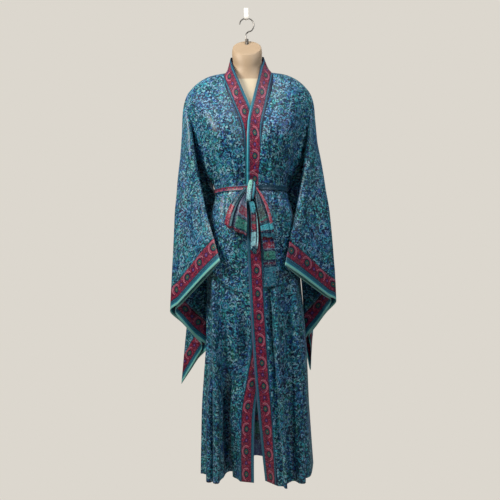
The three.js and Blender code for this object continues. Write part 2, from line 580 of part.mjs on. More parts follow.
// A ribbon through its rows, from edge to edge.
function ribbonGrid(rows) {
  const control = rows.map(({ left, right, y }) => [V([left[0], y, left[1]]), V([right[0], y, right[1]])]);
  return gridThrough(control, RIBBON_STEPS, steps(1, RIBBON_STEPS));
}

addPanel("belt_waist", beltGrid(), { ring: true, colour: COLOURS.border });
for (const [name, rows] of Object.entries(BOW)) addPanel(name, ribbonGrid(rows), { colour: COLOURS.border });
finishPanels();

// The knot is a long bead that leans with the band below it.
function knot() {
  const g = new THREE.SphereGeometry(1, KNOT.around, KNOT.down);
  g.scale(...KNOT.half);
  g.rotateX(-KNOT.lean);
  g.translate(...KNOT.centre);
  g.deleteAttribute("normal");
  g.deleteAttribute("uv");
  return mergeVertices(g, 1e-4);
}

// ---- the form and its hooks ---------------------------------------------------------------------------------
// A closed body through rings of points, from the first down to the last.
function lofted(rings) {
  const vertices = [];
  const triangles = [];
  for (const ring of rings) {
    for (let i = 0; i < FORM_STEPS; i++) {
      const a = 2 * Math.PI * i / FORM_STEPS;
      const fore = Math.cos(a);
      const middle = ring.middle ?? 0;
      const bow = ring.bow ?? 2;
      const reach = fore > 0 ? ring.front : ring.back;
      const level = fore > 0 ? ring.breastZ : ring.backZ;
      vertices.push(new THREE.Vector3(ring.half * Math.sin(a), lerp(middle, reach, Math.abs(fore)),
        lerp(ring.side, level, Math.abs(fore) ** bow)));
    }
  }
  const at = (r, i) => r * FORM_STEPS + i % FORM_STEPS;
  for (let r = 0; r < rings.length - 1; r++) {
    for (let i = 0; i < FORM_STEPS; i++) {
      triangles.push([at(r, i), at(r + 1, i), at(r + 1, i + 1)], [at(r, i), at(r + 1, i + 1), at(r, i + 1)]);
    }
  }
  const cap = (r, up) => {
    const middle = new THREE.Vector3();
    for (let i = 0; i < FORM_STEPS; i++) middle.addScaledVector(vertices[at(r, i)], 1 / FORM_STEPS);
    vertices.push(middle);
    const m = vertices.length - 1;
    for (let i = 0; i < FORM_STEPS; i++) {
      triangles.push(up ? [m, at(r, i), at(r, i + 1)] : [m, at(r, i + 1), at(r, i)]);
    }
  };
  cap(0, true);
  cap(rings.length - 1, false);
  return solid(vertices, triangles);
}

function mesh(name, geometry, colour, roughness, metalness = 0) {
  const m = new THREE.Mesh(geometry, new THREE.MeshStandardMaterial({ color: colour, roughness, metalness }));
  m.name = name;
  return m;
}

// A closed tube or strip: the outline is swept along a path, and both ends are closed.
function swept(outline, path, stepsAlong) {
  const shape = new THREE.Shape(outline.map(([x, y]) => new THREE.Vector2(x, y)));
  const g = new THREE.ExtrudeGeometry(shape, { steps: stepsAlong, extrudePath: path, bevelEnabled: false });
  g.deleteAttribute("normal");
  g.deleteAttribute("uv");
  return mergeVertices(g, 1e-4);
}

function circle(radius, count) {
  return Array.from({ length: count }, (_, i) => {
    const a = 2 * Math.PI * i / count;
    return [radius * Math.cos(a), radius * Math.sin(a)];
  });
}

// The steel hook: an open eye that turns over the rail hook and runs down into a straight stem.
function formHook() {
  const eye = Array.from({ length: EYE_STEPS + 1 }, (_, i) => {
    const a = lerp(HOOK_TIP_ANGLE, HOOK_NECK_ANGLE, i / EYE_STEPS);
    return [HOOK_RADIUS * Math.cos(a) + HOOK_CENTRE_X, HOOK_RADIUS * Math.sin(a) + HOOK_CENTRE_Z];
  });
  const line = [...eye, ...HOOK_STEM].map(([x, z]) => V([x, STEM_Y, z]));
  return swept(circle(WIRE / 2, WIRE_SIDES), new THREE.CatmullRomCurve3(line), HOOK_STEPS);
}

// The rail hook: a flat strip bent over the rail behind and up under the steel hook in front.
function railHook() {
  const half = RAIL_THICK / 2;
  const middle = [];
  const arc = (cy, cz, radius, turn) => {
    for (let i = 0; i <= BEND_STEPS; i++) {
      const a = turn * i / BEND_STEPS;
      middle.push([cy + radius * Math.cos(a), cz + radius * Math.sin(a)]);
    }
  };
  middle.push([2 * RAIL_BEND, REAR_LEG_Z]);
  arc(RAIL_BEND, -RAIL_BEND + half, RAIL_BEND, Math.PI);
  arc(-LIP_BEND, LIP_Z, LIP_BEND, -Math.PI);
  middle.push([-2 * LIP_BEND, LIP_Z + LIP_RISE]);
  const side = (s) => middle.map(([y, z], i) => {
    const [y0, z0] = middle[Math.max(0, i - 1)];
    const [y1, z1] = middle[Math.min(middle.length - 1, i + 1)];
    const n = new THREE.Vector2(z1 - z0, y0 - y1).setLength(half * s);
    return [y + n.x, z + n.y];
  });
  const outline = [...side(1), ...side(-1).reverse()];
  const g = new THREE.ExtrudeGeometry(new THREE.Shape(outline.map(([y, z]) => new THREE.Vector2(y, z))),
    { depth: RAIL_STRIP, bevelEnabled: false });
  g.translate(-RAIL_BEND, 0, -RAIL_STRIP / 2);
  const [x, y, z] = [[1, 0, 0], [0, 1, 0], [0, 0, 1]].map(V);
  g.applyMatrix4(new THREE.Matrix4().makeBasis(y, z, x));
  g.deleteAttribute("normal");
  g.deleteAttribute("uv");
  return mergeVertices(g, 1e-4);
}

const group = new THREE.Group();
const hung = new THREE.Group();
hung.position.y = HANG_Y;
group.add(hung);
for (const panel of Object.values(panels)) {
  const thickness = panel.name === "belt_waist" ? BELT.thick : CLOTH;
  hung.add(mesh(panel.name, wall(panel, thickness), panel.colour, 0.55));
}
hung.add(mesh("belt_knot", knot(), COLOURS.mint, 0.55));
hung.add(mesh("form_torso", lofted(FORM_RINGS), COLOURS.form, 0.5));
hung.add(mesh("form_neck", lofted(NECK_RINGS.slice().reverse()), COLOURS.neck, 0.5));
hung.add(mesh("hook_ferrule", lofted(FERRULE_RINGS), COLOURS.steel, 0.4, 1));
hung.add(mesh("form_hook", formHook(), COLOURS.steel, 0.25, 1));
group.add(mesh("rail_hook", railHook(), COLOURS.rail, 0.5));

export default group;
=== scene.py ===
"""The looks of a kimono robe on a hanging torso form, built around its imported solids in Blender 4.5.

Every length below is in millimetres in the frame of the solids, and becomes metres when a mesh is made.
The robe, form and steel hook hang from the rail hook, and their tables are given about the form's own axis.
"""

from __future__ import annotations

import logging
import math
from collections.abc import Callable, Iterable, Sequence
from dataclasses import dataclass, field
from enum import Enum
from functools import partial
from typing import Any

import bmesh
import bpy
import numpy as np
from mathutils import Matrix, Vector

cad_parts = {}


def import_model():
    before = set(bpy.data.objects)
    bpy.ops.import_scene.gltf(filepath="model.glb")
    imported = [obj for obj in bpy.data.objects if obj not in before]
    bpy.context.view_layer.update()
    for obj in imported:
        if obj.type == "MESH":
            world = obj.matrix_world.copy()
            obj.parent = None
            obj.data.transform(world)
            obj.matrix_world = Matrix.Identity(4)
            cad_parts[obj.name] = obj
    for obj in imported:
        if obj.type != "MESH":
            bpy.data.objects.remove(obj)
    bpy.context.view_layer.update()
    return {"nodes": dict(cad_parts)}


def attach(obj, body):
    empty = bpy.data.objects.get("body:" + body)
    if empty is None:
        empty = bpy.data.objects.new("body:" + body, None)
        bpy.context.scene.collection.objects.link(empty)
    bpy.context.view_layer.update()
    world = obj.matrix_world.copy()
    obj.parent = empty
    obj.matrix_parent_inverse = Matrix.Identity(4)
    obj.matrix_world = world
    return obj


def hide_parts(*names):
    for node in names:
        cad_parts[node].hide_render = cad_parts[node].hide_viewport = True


LOG = logging.getLogger("kimono_robe")

MM = 0.001
HANG_Y = -22.0
ROOT = "root"
STEPS_PER_ROW = 2
STEPS_PER_COLUMN = 2
ARMHOLE_ROWS = 6
SEAM_GAP = 0.3
Point = tuple[float, float, float]
Plan = tuple[float, float]
Lengths = tuple[np.ndarray, np.ndarray]
Material = bpy.types.Material
Node = bpy.types.Node
Thing = bpy.types.Object


# ---- tables --------------------------------------------------------------------------------------
def table(kind: type, rows: Iterable[tuple]) -> tuple:
    """Returns rows of one kind of record."""
    return tuple(kind(*row) for row in rows)


@dataclass(frozen=True)
class FrontRow:
    """One level of a front panel, from its free edge to its side; the middle columns have x and y only."""

    edge: Point
    seam: Point
    breast: Plan
    chest: Plan
    turn: Plan
    flank: Plan
    side: Point
    arch: float = 0.0

    def control(self) -> list[Point]:
        """Lists the points that the row's curve runs through.

        Returns:
            The points, from the band's seam to the side.
        """
        between = (self.breast, self.chest, self.turn, self.flank)
        points = [self.seam]
        for i, (x, y) in enumerate(between, start=1):
            f = i / (len(between) + 1)
            level = self.seam[2] + (self.side[2] - self.seam[2]) * f
            points.append((x, y, level + self.arch * math.sin(math.pi * f)))
        return [*points, self.side]


@dataclass(frozen=True)
class BackRow:
    """One level of the back panel, from the armhole's opening in to the middle."""

    opening: float
    blade: Point
    nape: Point
    centre: Point


@dataclass(frozen=True)
class FoldStation:
    """The four fold lines of a pressed sleeve at a share of the way down it."""

    share: float
    top: Point
    outer: Point
    inner: Point
    bottom: Point


@dataclass(frozen=True)
class FormRing:
    """One ring of the torso form: half width, reach to front and back, and level at side, front and back."""

    half: float
    front: float
    back: float
    side: float
    breast_z: float
    back_z: float
    middle: float = 0.0
    bow: float = 2.0


@dataclass(frozen=True)
class NeckPoint:
    """A point of the back neckline and of the neck band's free edge above it."""

    line: Point
    edge: Point


@dataclass(frozen=True)
class RibbonRow:
    """A row of a ribbon: its two edges as x and z, at one depth y."""

    left: Plan
    right: Plan
    y: float


FRONT_RIGHT = table(FrontRow, (
    ((-52, 0, -192), (-74, 8, -225), (-104, 6), (-134, 5), (-160, 4), (-184, 3), (-204, 3, -292), 15),
    ((-46, -38, -220), (-78, -37, -250), (-108, -38), (-138, -36), (-165, -32), (-190, -25),
     (-208, -16, -312), 12),
    ((-33, -70, -262), (-72, -70, -300), (-104, -72), (-138, -68), (-168, -56), (-192, -41),
     (-206, -26, -345), 6),
    ((-8, -91, -330), (-48, -95, -366), (-84, -106), (-122, -100), (-156, -76), (-180, -46),
     (-198, -22, -400)),
    ((20, -107, -410), (-25, -116, -440), (-62, -130), (-101, -121), (-136, -88), (-162, -44),
     (-185, -15, -470)),
    ((30, -111, -505), (-16, -117, -520), (-48, -121), (-84, -107), (-116, -76), (-142, -38),
     (-166, -8, -535)),
    ((31, -102, -580), (-15, -108, -582), (-44, -106), (-76, -93), (-104, -66), (-124, -30), (-140, 6, -582)),
    ((31, -97, -632), (-15, -101, -632), (-42, -98), (-72, -86), (-96, -58), (-112, -26), (-119, 5, -632)),
    ((34, -114, -700), (-14, -119, -700), (-52, -116), (-86, -100), (-114, -70), (-130, -34),
     (-136, 6, -700)),
    ((36, -119, -790), (-12, -124, -790), (-60, -120), (-96, -102), (-126, -76), (-144, -38),
     (-149, 6, -790)),
    ((38, -114, -950), (-10, -118, -950), (-54, -103), (-104, -95), (-138, -84), (-150, -36),
     (-156, 6, -950)),
    ((36, -107, -1150), (-12, -108, -1150), (-62, -80), (-118, -92), (-148, -86), (-154, -26),
     (-164, 2, -1150)),
    ((-2, -105, -1350), (-46, -98, -1350), (-88, -44), (-128, -92), (-160, -84), (-166, -22),
     (-182, 0, -1350)),
    ((-12, -103, -1580), (-57, -84, -1582), (-95, -6), (-135, -90), (-167, -80), (-171, -20),
     (-192, -4, -1584)),
))
FRONT_LEFT = table(FrontRow, (
    ((51, 0, -192), (82, 8, -227), (110, 6), (138, 5), (164, 4), (187, 3), (206, 3, -294), 15),
    ((43, -38, -220), (85, -37, -254), (114, -38), (142, -36), (168, -32), (193, -25), (210, -16, -316), 12),
    ((33, -72, -266), (78, -72, -304), (108, -74), (142, -69), (172, -57), (196, -42), (210, -28, -350), 6),
    ((14, -100, -340), (59, -101, -370), (90, -110), (128, -102), (162, -78), (182, -46), (203, -24, -405)),
    ((-3, -120, -414), (44, -128, -440), (76, -134), (112, -122), (146, -88), (166, -44), (191, -16, -474)),
    ((-9, -125, -511), (34, -128, -518), (62, -126), (94, -108), (124, -78), (150, -42), (172, -10, -537)),
    ((-11, -116, -580), (27, -117, -582), (56, -111), (86, -94), (112, -66), (130, -32), (146, 6, -582)),
    ((-12, -109, -632), (26, -110, -632), (54, -103), (82, -86), (104, -58), (118, -26), (124, 5, -632)),
    ((-14, -126, -700), (32, -128, -700), (63, -120), (96, -102), (122, -72), (136, -34), (142, 6, -700)),
    ((-15, -132, -790), (33, -134, -790), (68, -124), (104, -103), (132, -75), (148, -37), (153, 6, -790)),
    ((-12, -128, -950), (36, -131, -950), (72, -124), (110, -100), (140, -82), (156, -40), (164, 8, -950)),
    ((-5, -121, -1150), (42, -127, -1150), (80, -130), (117, -98), (146, -88), (168, -38), (178, 12, -1150)),
    ((6, -112, -1350), (51, -124, -1350), (88, -140), (118, -96), (146, -94), (170, -44), (184, 30, -1350)),
    ((25, -88, -1580), (64, -128, -1582), (95, -150), (117, -92), (142, -104), (176, -50), (198, 70, -1584)),
))
BACK = table(BackRow, (
    (0, (-142, 6, -244), (-74, 8, -225), (0, 66, -206)),
    (36, (-146, 46, -262), (-74, 66, -240), (0, 86, -230)),
    (64, (-150, 76, -302), (-76, 94, -286), (0, 99, -280)),
    (74, (-148, 88, -372), (-76, 101, -352), (0, 101, -350)),
    (64, (-136, 85, -455), (-70, 98, -442), (0, 97, -440)),
    (34, (-120, 72, -528), (-62, 88, -522), (0, 89, -520)),
    (0, (-106, 58, -582), (-54, 78, -582), (0, 82, -582)),
    (0, (-92, 47, -632), (-46, 69, -632), (0, 75, -632)),
    (0, (-105, 62, -700), (-52, 86, -700), (0, 93, -700)),
    (0, (-116, 75, -790), (-58, 99, -790), (0, 108, -790)),
    (0, (-122, 84, -950), (-62, 100, -950), (0, 119, -950)),
    (0, (-124, 92, -1150), (-66, 102, -1150), (0, 130, -1150)),
    (0, (-132, 106, -1350), (-68, 104, -1350), (0, 141, -1350)),
    (0, (-142, 130, -1582), (-70, 108, -1582), (0, 152, -1582)),
))
SLEEVE_RIGHT = table(FoldStation, (
    (0.12, (-208, -20, -352), (-217, 3, -462), (-156, 22, -560), (-122, 28, -640)),
    (0.3, (-191, -40, -450), (-239, 4, -590), (-130, 50, -690), (-150, 66, -745)),
    (0.6, (-160, -58, -640), (-258, 4, -800), (-164, 54, -905), (-220, 82, -985)),
    (1, (-102, -138, -862), (-275, 3, -1034), (-174, 58, -1166), (-262, 92, -1300)),
))
SLEEVE_LEFT = table(FoldStation, (
    (0.12, (212, -18, -356), (215, 3, -466), (160, 22, -560), (126, 28, -640)),
    (0.3, (199, -42, -460), (243, 4, -600), (130, 50, -690), (150, 68, -740)),
    (0.6, (159, -58, -650), (268, 4, -800), (172, 54, -890), (212, 82, -960)),
    (1, (103, -138, -880), (274, 3, -1012), (188, 60, -1140), (198, 96, -1264)),
))
FORM_RINGS = table(FormRing, (
    (60, -43, 54, -228, -256, -214), (100, -56, 70, -242, -284, -246), (148, -69, 82, -252.9, -313, -284),
    (184, -79, 88, -281, -340, -320), (194, -87, 90, -306, -362, -352), (183, -96, 88, -345, -390, -392),
    (160, -103, 84, -408, -428, -436), (138, -104, 76, -480, -480, -484), (118, -96, 70, -550, -550, -550),
    (106, -86, 62, -625, -625, -625), (120, -94, 76, -696, -696, -696), (138, -101, 90, -775, -775, -775),
    (141, -102, 93, -845, -845, -845), (136, -98, 90, -868, -868, -868), (118, -84, 78, -880, -880, -880),
))
NECK_RINGS = table(FormRing, (
    (60, -43, 54, -227.6, -255.6, -213.6), (46.5, -43, 40, -205, -228, -186),
    (50.5, -46, 32, -180, -212, -148, -7, 1), (52, -48, 28, -161, -195, -126, -10, 1),
    (48.5, -47, 26, -146.5, -181.5, -111, -10, 1), (46, -44.5, 23.5, -144.5, -178, -110.5, -10, 1),
))
NECK_LINE = table(NeckPoint, (
    ((-74, 8, -225), (-52, 0, -192)), ((-68, 34, -216), (-57, 30, -166)), ((-42, 57, -209), (-39, 58, -155)),
    ((0, 66, -206), (0, 70, -153)), ((44, 57, -209), (39, 58, -155)), ((72, 34, -217), (57, 30, -166)),
    ((82, 8, -227), (51, 0, -192)),
))
BOW_LOOP_RIGHT = table(RibbonRow, (
    ((-15.2, -628), (-12.6, -652), -130), ((-48, -660), (-14, -690), -146), ((-72, -700), (-13, -738), -152),
    ((-84, -742), (-16, -779), -150), ((-84.5, -747), (-16.5, -785), -143.5),
    ((-82, -741), (-17, -778), -137), ((-66, -700), (-15, -734), -133), ((-45, -664), (-16, -692), -131),
    ((-17, -634), (-14.5, -656), -123),
))
BOW_LOOP_LEFT = table(RibbonRow, (
    ((15, -650), (18.5, -630), -130), ((19, -692), (43, -668), -148), ((26, -742), (62, -722), -156),
    ((31, -784), (73, -787), -156), ((31, -790), (74, -793), -150), ((31, -785), (73, -788), -144.5),
    ((26, -742), (59, -724), -142), ((20, -694), (39, -672), -136), ((15.5, -654), (19, -638), -123),
))
BELT_TAIL_SHORT = table(RibbonRow, (
    ((-7, -676.8), (9, -676.8), -134.6), ((-3, -710), (17, -710), -137), ((-2, -760), (21, -760), -142),
    ((-4, -800), (21, -798), -144), ((-5, -828), (17, -824), -148), ((3, -836), (14, -835), -143),
))
BELT_TAIL_LONG = table(RibbonRow, (
    ((1, -671), (12, -668), -126.3), ((22, -715), (46, -705), -135), ((29, -775), (64, -770), -138.4),
    ((32, -810), (70, -806), -139.5), ((34, -870), (74, -868), -138), ((32, -950), (72, -946), -136),
))


# ---- cloth ---------------------------------------------------------------------------------------
def through(points: np.ndarray, at: np.ndarray) -> np.ndarray:
    """Reads a smooth curve through points, along the first axis.

    Args:
        points: The points, at positions 0, 1, 2 and so on.
        at: The positions to read.

    Returns:
        One point for each position.
    """
    last = len(points) - 1
    i = np.clip(np.floor(at).astype(int), 0, last - 1)
    f = (at - i).reshape((-1,) + (1,) * (points.ndim - 1))
    a, b, c, d = (points[np.clip(i + k, 0, last)] for k in (-1, 0, 1, 2))
    return b + 0.5 * f * (c - a + f * (2 * a - 5 * b + 4 * c - d + f * (3 * (b - c) + d - a)))


def steps(spans: int, per_span: int) -> np.ndarray:
    """Returns positions from 0 to the number of spans, evenly spaced."""
    return np.arange(spans * per_span + 1) / per_span


def grid_through(control: np.ndarray, per_row: int, column_at: np.ndarray) -> np.ndarray:
    """Reads a finer grid of points through a control grid, at positions along its columns."""
    rows = through(control, steps(len(control) - 1, per_row))
    return through(rows.transpose(1, 0, 2), column_at).transpose(1, 0, 2)


def unit(vectors: np.ndarray) -> np.ndarray:
    """Returns vectors at a length of one."""
    return vectors / np.maximum(np.linalg.norm(vectors, axis=-1, keepdims=True), 1e-9)


def distances(places: np.ndarray, axis: int) -> np.ndarray:
    """Returns the distance from each point of a grid to the next along an axis."""
    return np.linalg.norm(np.diff(places, axis=axis), axis=-1)


def summed(widths: np.ndarray) -> np.ndarray:
    """Returns the running sum along each row, from nothing."""
    return np.concatenate([np.zeros((len(widths), 1)), widths.cumsum(axis=1)], axis=1)


def ring_closed(columns: np.ndarray) -> np.ndarray:
    """Returns a grid with its first column again after its last."""
    return np.concatenate([columns, columns[:, :1]], axis=1)


def hung(points: Any) -> np.ndarray:
    """Moves points from the form's own axis to where it hangs."""
    return np.array(points) + np.array([0.0, HANG_Y, 0.0])


@dataclass(frozen=True)
class Crease:
    """A soft fold laid from one point to another, seen from the front or the back.

    height stands out where it is positive and sinks in where it is negative; width is the half width of its
    crest, bow bends its line sideways, and lip is the share of its height that turns the other way beside it.
    """

    start: Plan
    end: Plan
    width: float
    height: float
    bow: float = 0.0
    lip: float = 0.45

    def lift(self, x: np.ndarray, z: np.ndarray) -> np.ndarray:
        """Finds how far the crease moves points out; it fades in and out at its ends.

        Args:
            x: How far to the side they are.
            z: How high they are.

        Returns:
            The height at each.
        """
        run, rise = self.end[0] - self.start[0], self.end[1] - self.start[1]
        length = math.hypot(run, rise)
        run, rise = run / length, rise / length
        x, z = x - self.start[0], z - self.start[1]
        along = (x * run + z * rise) / length
        across = x * -rise + z * run
        across = (across - self.bow * np.sin(np.pi * np.clip(along, 0, 1))) / self.width
        overrun, fading, lip_middle = 0.06, 0.3, 1.7
        end = np.clip(np.minimum(along + overrun, 1 + overrun - along) / fading, 0, 1)
        crest = np.exp(-across ** 2) - self.lip * np.exp(-(across - lip_middle) ** 2)
        return self.height * (end * end * (3 - 2 * end)) * crest


@dataclass(frozen=True)
class Cut:
    """The flat cut of a sheet in metres, how it is held and what carries it."""

    width: float
    length: float
    area: float
    held: str
    rests_on: tuple[str, ...] = ()


@dataclass
class Piece:
    """A finished piece, the nodes that it stands for, and its finish's slot and flat cut, which it only
    keeps.
    """

    thing: Thing
    nodes: tuple[str, ...]
    slot: str
    cut: Cut | None = None

    def declare(self) -> None:
        """Rides the piece on the one body and lets it stand for its nodes, whose solids it hides."""
        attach(self.thing, ROOT)
        for node in self.nodes:
            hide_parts(node)
        LOG.info("%s: %d faces", self.thing.name, len(self.thing.data.polygons))


def select_only(thing: Thing) -> None:
    """Deselects everything else.

    Args:
        thing: The object to select and make active.
    """
    bpy.ops.object.select_all(action="DESELECT")
    thing.select_set(True)
    bpy.context.view_layer.objects.active = thing


def new_thing(name: str, data: Any) -> Thing:
    """Puts something new in the scene.

    Args:
        name: What it is called.
        data: Its mesh, curve, lamp or camera.

    Returns:
        The object.
    """
    thing = bpy.data.objects.new(name, data)
    bpy.context.scene.collection.objects.link(thing)
    return thing


def dress(thing: Thing, material: Material) -> None:
    """Gives an object its one finish."""
    thing.data.materials.clear()
    thing.data.materials.append(material)


def apply_modifier(thing: Thing, kind: str, **settings: Any) -> None:
    """Adds a modifier to an object and applies it.

    Args:
        thing: The object.
        kind: The modifier's type.
        settings: Its settings.
    """
    modifier = thing.modifiers.new(kind.lower(), kind)
    for key, value in settings.items():
        setattr(modifier, key, value)
    select_only(thing)
    bpy.ops.object.modifier_apply(modifier=modifier.name)


@dataclass
class Cloth:
    """A cloth in the making, on a grid of points; its sides are top, foot, first and last.

    Attributes:
        node: The node that it stands for.
        grid: Its middle surface.
        flip: Whether its outside is on the other hand.
        ring: Whether the last column joins the first.
        name: The piece's name, where that isn't the node's with cloth after it.
    """

    node: str
    grid: np.ndarray
    flip: bool = False
    ring: bool = False
    name: str = ""

    def refine(self, rows: int, columns: int) -> None:
        """Makes the grid finer on the same smooth surface.

        Args:
            rows: New rows for each.
            columns: New columns for each.
        """
        grid, count = self.grid, self.grid.shape[1]
        column_at = steps(count - 1, columns)
        if self.ring:
            grid = np.concatenate([grid[:, -2:], grid, grid[:, :3]], axis=1)
            column_at = 2 + np.arange(count * columns) / columns
        self.grid = grid_through(grid, rows, column_at)

    def normals(self) -> np.ndarray:
        """Finds which way the cloth faces.

        Returns:
            The outward normal at each point, the mean of its faces'.
        """
        after = np.roll(self.grid, -1, axis=1) if self.ring else self.grid[:, 1:]
        here = self.grid if self.ring else self.grid[:, :-1]
        faces = unit(np.cross(after[1:] - here[:-1], after[:-1] - here[1:])) * (-1 if self.flip else 1)
        total = np.zeros_like(self.grid)
        count = faces.shape[1]
        for rows in (slice(0, len(faces)), slice(1, len(faces) + 1)):
            total[rows, :count] += faces
            total[rows, -count:] += np.roll(faces, 1, axis=1) if self.ring else faces
        return unit(total)

    def lift(self, heights: np.ndarray) -> None:
        """Moves each point out by its height."""
        self.grid = self.grid + self.normals() * heights[..., None]

    def fold(self, creases: Sequence[Crease], sides: Iterable[str], sink: Any, reach: int = 5) -> None:
        """Lays creases in the cloth.

        Args:
            creases: The creases, in the same frame.
            sides: The sides whose seams hold it flat.
            sink: The most that a point may move in.
            reach: Steps from a seam to where the cloth is free.
        """
        rows, columns = self.grid.shape[:2]
        down, across = np.indices((rows, columns))
        away = {"top": down, "foot": rows - 1 - down, "first": across, "last": columns - 1 - across}
        heights = sum(crease.lift(self.grid[..., 0], self.grid[..., 2]) for crease in creases)
        hold = np.ones((rows, columns))
        for side in sides:
            hold = hold * np.clip(away[side] / reach, 0, 1)
        self.lift(np.maximum(heights * hold, -sink))

    def draw_back(self, sides: Iterable[str]) -> None:
        """Draws the cloth back by half a seam's gap.

        Args:
            sides: The sides that are sewn.
        """
        whole = self.grid.copy()
        inner = {"top": (np.s_[0], np.s_[1]), "foot": (np.s_[-1], np.s_[-2]),
                 "first": (np.s_[:, 0], np.s_[:, 1]), "last": (np.s_[:, -1], np.s_[:, -2])}
        for side in sides:
            edge, inside = inner[side]
            self.grid[edge] = whole[edge] + unit(whole[inside] - whole[edge]) * SEAM_GAP / 2

    def lengths(self) -> Lengths:
        """Measures the cloth for its print.

        Returns:
            How far across and down it each point is, with a closing column on a ring.
        """
        across = summed(distances(ring_closed(self.grid) if self.ring else self.grid, 1))
        fall = distances(self.grid, 0).mean(axis=1).cumsum()
        down = np.concatenate([[0.0], fall])
        return across, np.repeat(down[:, None], across.shape[1], axis=1)

    def piece(self, thickness: float, material: Material, cut: Cut, lengths: Lengths | None = None,
              slot: str = "border_satin") -> Piece:
        """Makes the cloth a thin shell with smooth shading.

        Args:
            thickness: The shell's thickness.
            material: Its finish.
            cut: Its flat cut.
            lengths: The print's two coordinates at each point, with a closing column on a ring.
            slot: What the frame calls its finish.

        Returns:
            The piece.
        """
        rows, columns = self.grid.shape[:2]
        r, c = np.indices((rows - 1, columns if self.ring else columns - 1))
        r, c = np.stack([r, r + 1, r + 1, r], -1), np.stack([c, c, c + 1, c + 1], -1)
        corners = (r * columns + c % columns).reshape(-1, 4)
        marks = np.stack([length[r, c] for length in lengths or self.lengths()], -1).reshape(-1, 4, 2)
        if self.flip:
            corners, marks = corners[:, ::-1], marks[:, ::-1]
        name = self.name or f"{self.node}_cloth"
        mesh = bpy.data.meshes.new(name)
        mesh.from_pydata((hung(self.grid).reshape(-1, 3) * MM).tolist(), [], corners.tolist())
        mesh.uv_layers.new(name="cloth").data.foreach_set("uv", (marks.reshape(-1, 2) * MM).ravel())
        mesh.update()
        thing = new_thing(name, mesh)
        dress(thing, material)
        apply_modifier(thing, "SOLIDIFY", thickness=thickness * MM, offset=0.0, use_rim=True)
        thing.data.polygons.foreach_set("use_smooth", [True] * len(thing.data.polygons))
        thing.data.update()
        return Piece(thing, (self.node,), slot, cut)


# ---- finishes ------------------------------------------------------------------------------------
class Colour(str, Enum):
    """The dyes and paints of the robe and its stand; a few of them also serve as painted shade and highlight
    on the sash and the band's edge.
    """

    NAVY = "091a3a"
    DEEP_TEAL = "0d3a4e"
    TEAL = "1b6078"
    BLUE = "265a98"
    TURQUOISE = "3fa3b6"
    GREY_BLUE = "7eaac6"
    LEAF_GREEN = "246f62"
    DARK_LEAF = "34443f"
    VIOLET = "33317c"
    PURPLE_GREY = "565a78"
    CRIMSON = "761234"
    DARK_RED = "4a0f2e"
    SCARLET = "9a203b"
    SALMON = "bd6859"
    ROSE = "b26c80"
    MINT = "78bfb1"
    PALE_TEAL = "88bfca"
    DARK_BORDER = "12304a"
    CREAM = "cfc2a6"
    TAN = "b19a7e"


(NAVY, DEEP_TEAL, TEAL, BLUE, TURQUOISE, GREY_BLUE, LEAF_GREEN, DARK_LEAF, VIOLET, PURPLE_GREY, CRIMSON,
 DARK_RED, SCARLET, SALMON, ROSE, MINT, PALE_TEAL, DARK_BORDER, CREAM, TAN) = Colour
Stops = Sequence[tuple[float, str]]


def linear(code: str) -> tuple[float, float, float, float]:
    """Turns an sRGB colour to linear light.

    Args:
        code: The colour's six hex digits.

    Returns:
        Its red, green and blue, with full alpha.
    """
    parts = [int(code[i:i + 2], 16) / 255 for i in (0, 2, 4)]
    red, green, blue = (v / 12.92 if v <= 0.04045 else ((v + 0.055) / 1.055) ** 2.4 for v in parts)
    return red, green, blue, 1.0


def add_node(tree: bpy.types.NodeTree, kind: str, *values: Any, stops: Stops = (), smooth: bool = False,
             **named: Any) -> Node:
    """Adds a node with its settings and links.

    Args:
        tree: The material's or world's node tree.
        kind: The node's type without the word ShaderNode, and its operation after a point.
        values: Its live inputs in order: values, colour codes, sockets, or nodes for their first live output.
        stops: A colour ramp's places and colours, each of which holds until the next.
        smooth: Whether those colours run into each other.
        named: Inputs by name, with a capital and _ for a space, and settings, in small letters.

    Returns:
        The node.
    """
    kind, _, operation = kind.partition(".")
    node = tree.nodes.new("ShaderNode" + kind)
    for key, value in {**named, **({"operation": operation} if operation else {})}.items():
        if key.islower():
            setattr(node, key, value)
    given = [(node.inputs[key.replace("_", " ")], value) for key, value in named.items() if not key.islower()]
    live = [socket for socket in node.inputs if not socket.is_unavailable]
    for socket, value in (*zip(live, values), *given):
        if isinstance(value, Node):
            value = next(output for output in value.outputs if not output.is_unavailable)
        if isinstance(value, bpy.types.NodeSocket):
            tree.links.new(value, socket)
        else:
            socket.default_value = linear(value) if isinstance(value, str) else value
    if stops:
        ramp = node.color_ramp
        ramp.interpolation = "LINEAR" if smooth else "CONSTANT"
        ramp.elements.remove(ramp.elements[-1])
        ramp.elements[0].position = stops[0][0]
        for place, _ in stops[1:]:
            ramp.elements.new(place)
        for element, (_, code) in zip(ramp.elements, stops):
            element.color = linear(code)
    return node


def new_material(name: str) -> tuple[Material, Callable[..., Node]]:
    """Makes an empty material.

    Args:
        name: What it is called.

    Returns:
        The material, and the function that adds a node to it.
    """
    material = bpy.data.materials.new(name)
    material.use_nodes = True
    material.node_tree.nodes.clear()
    return material, partial(add_node, material.node_tree)


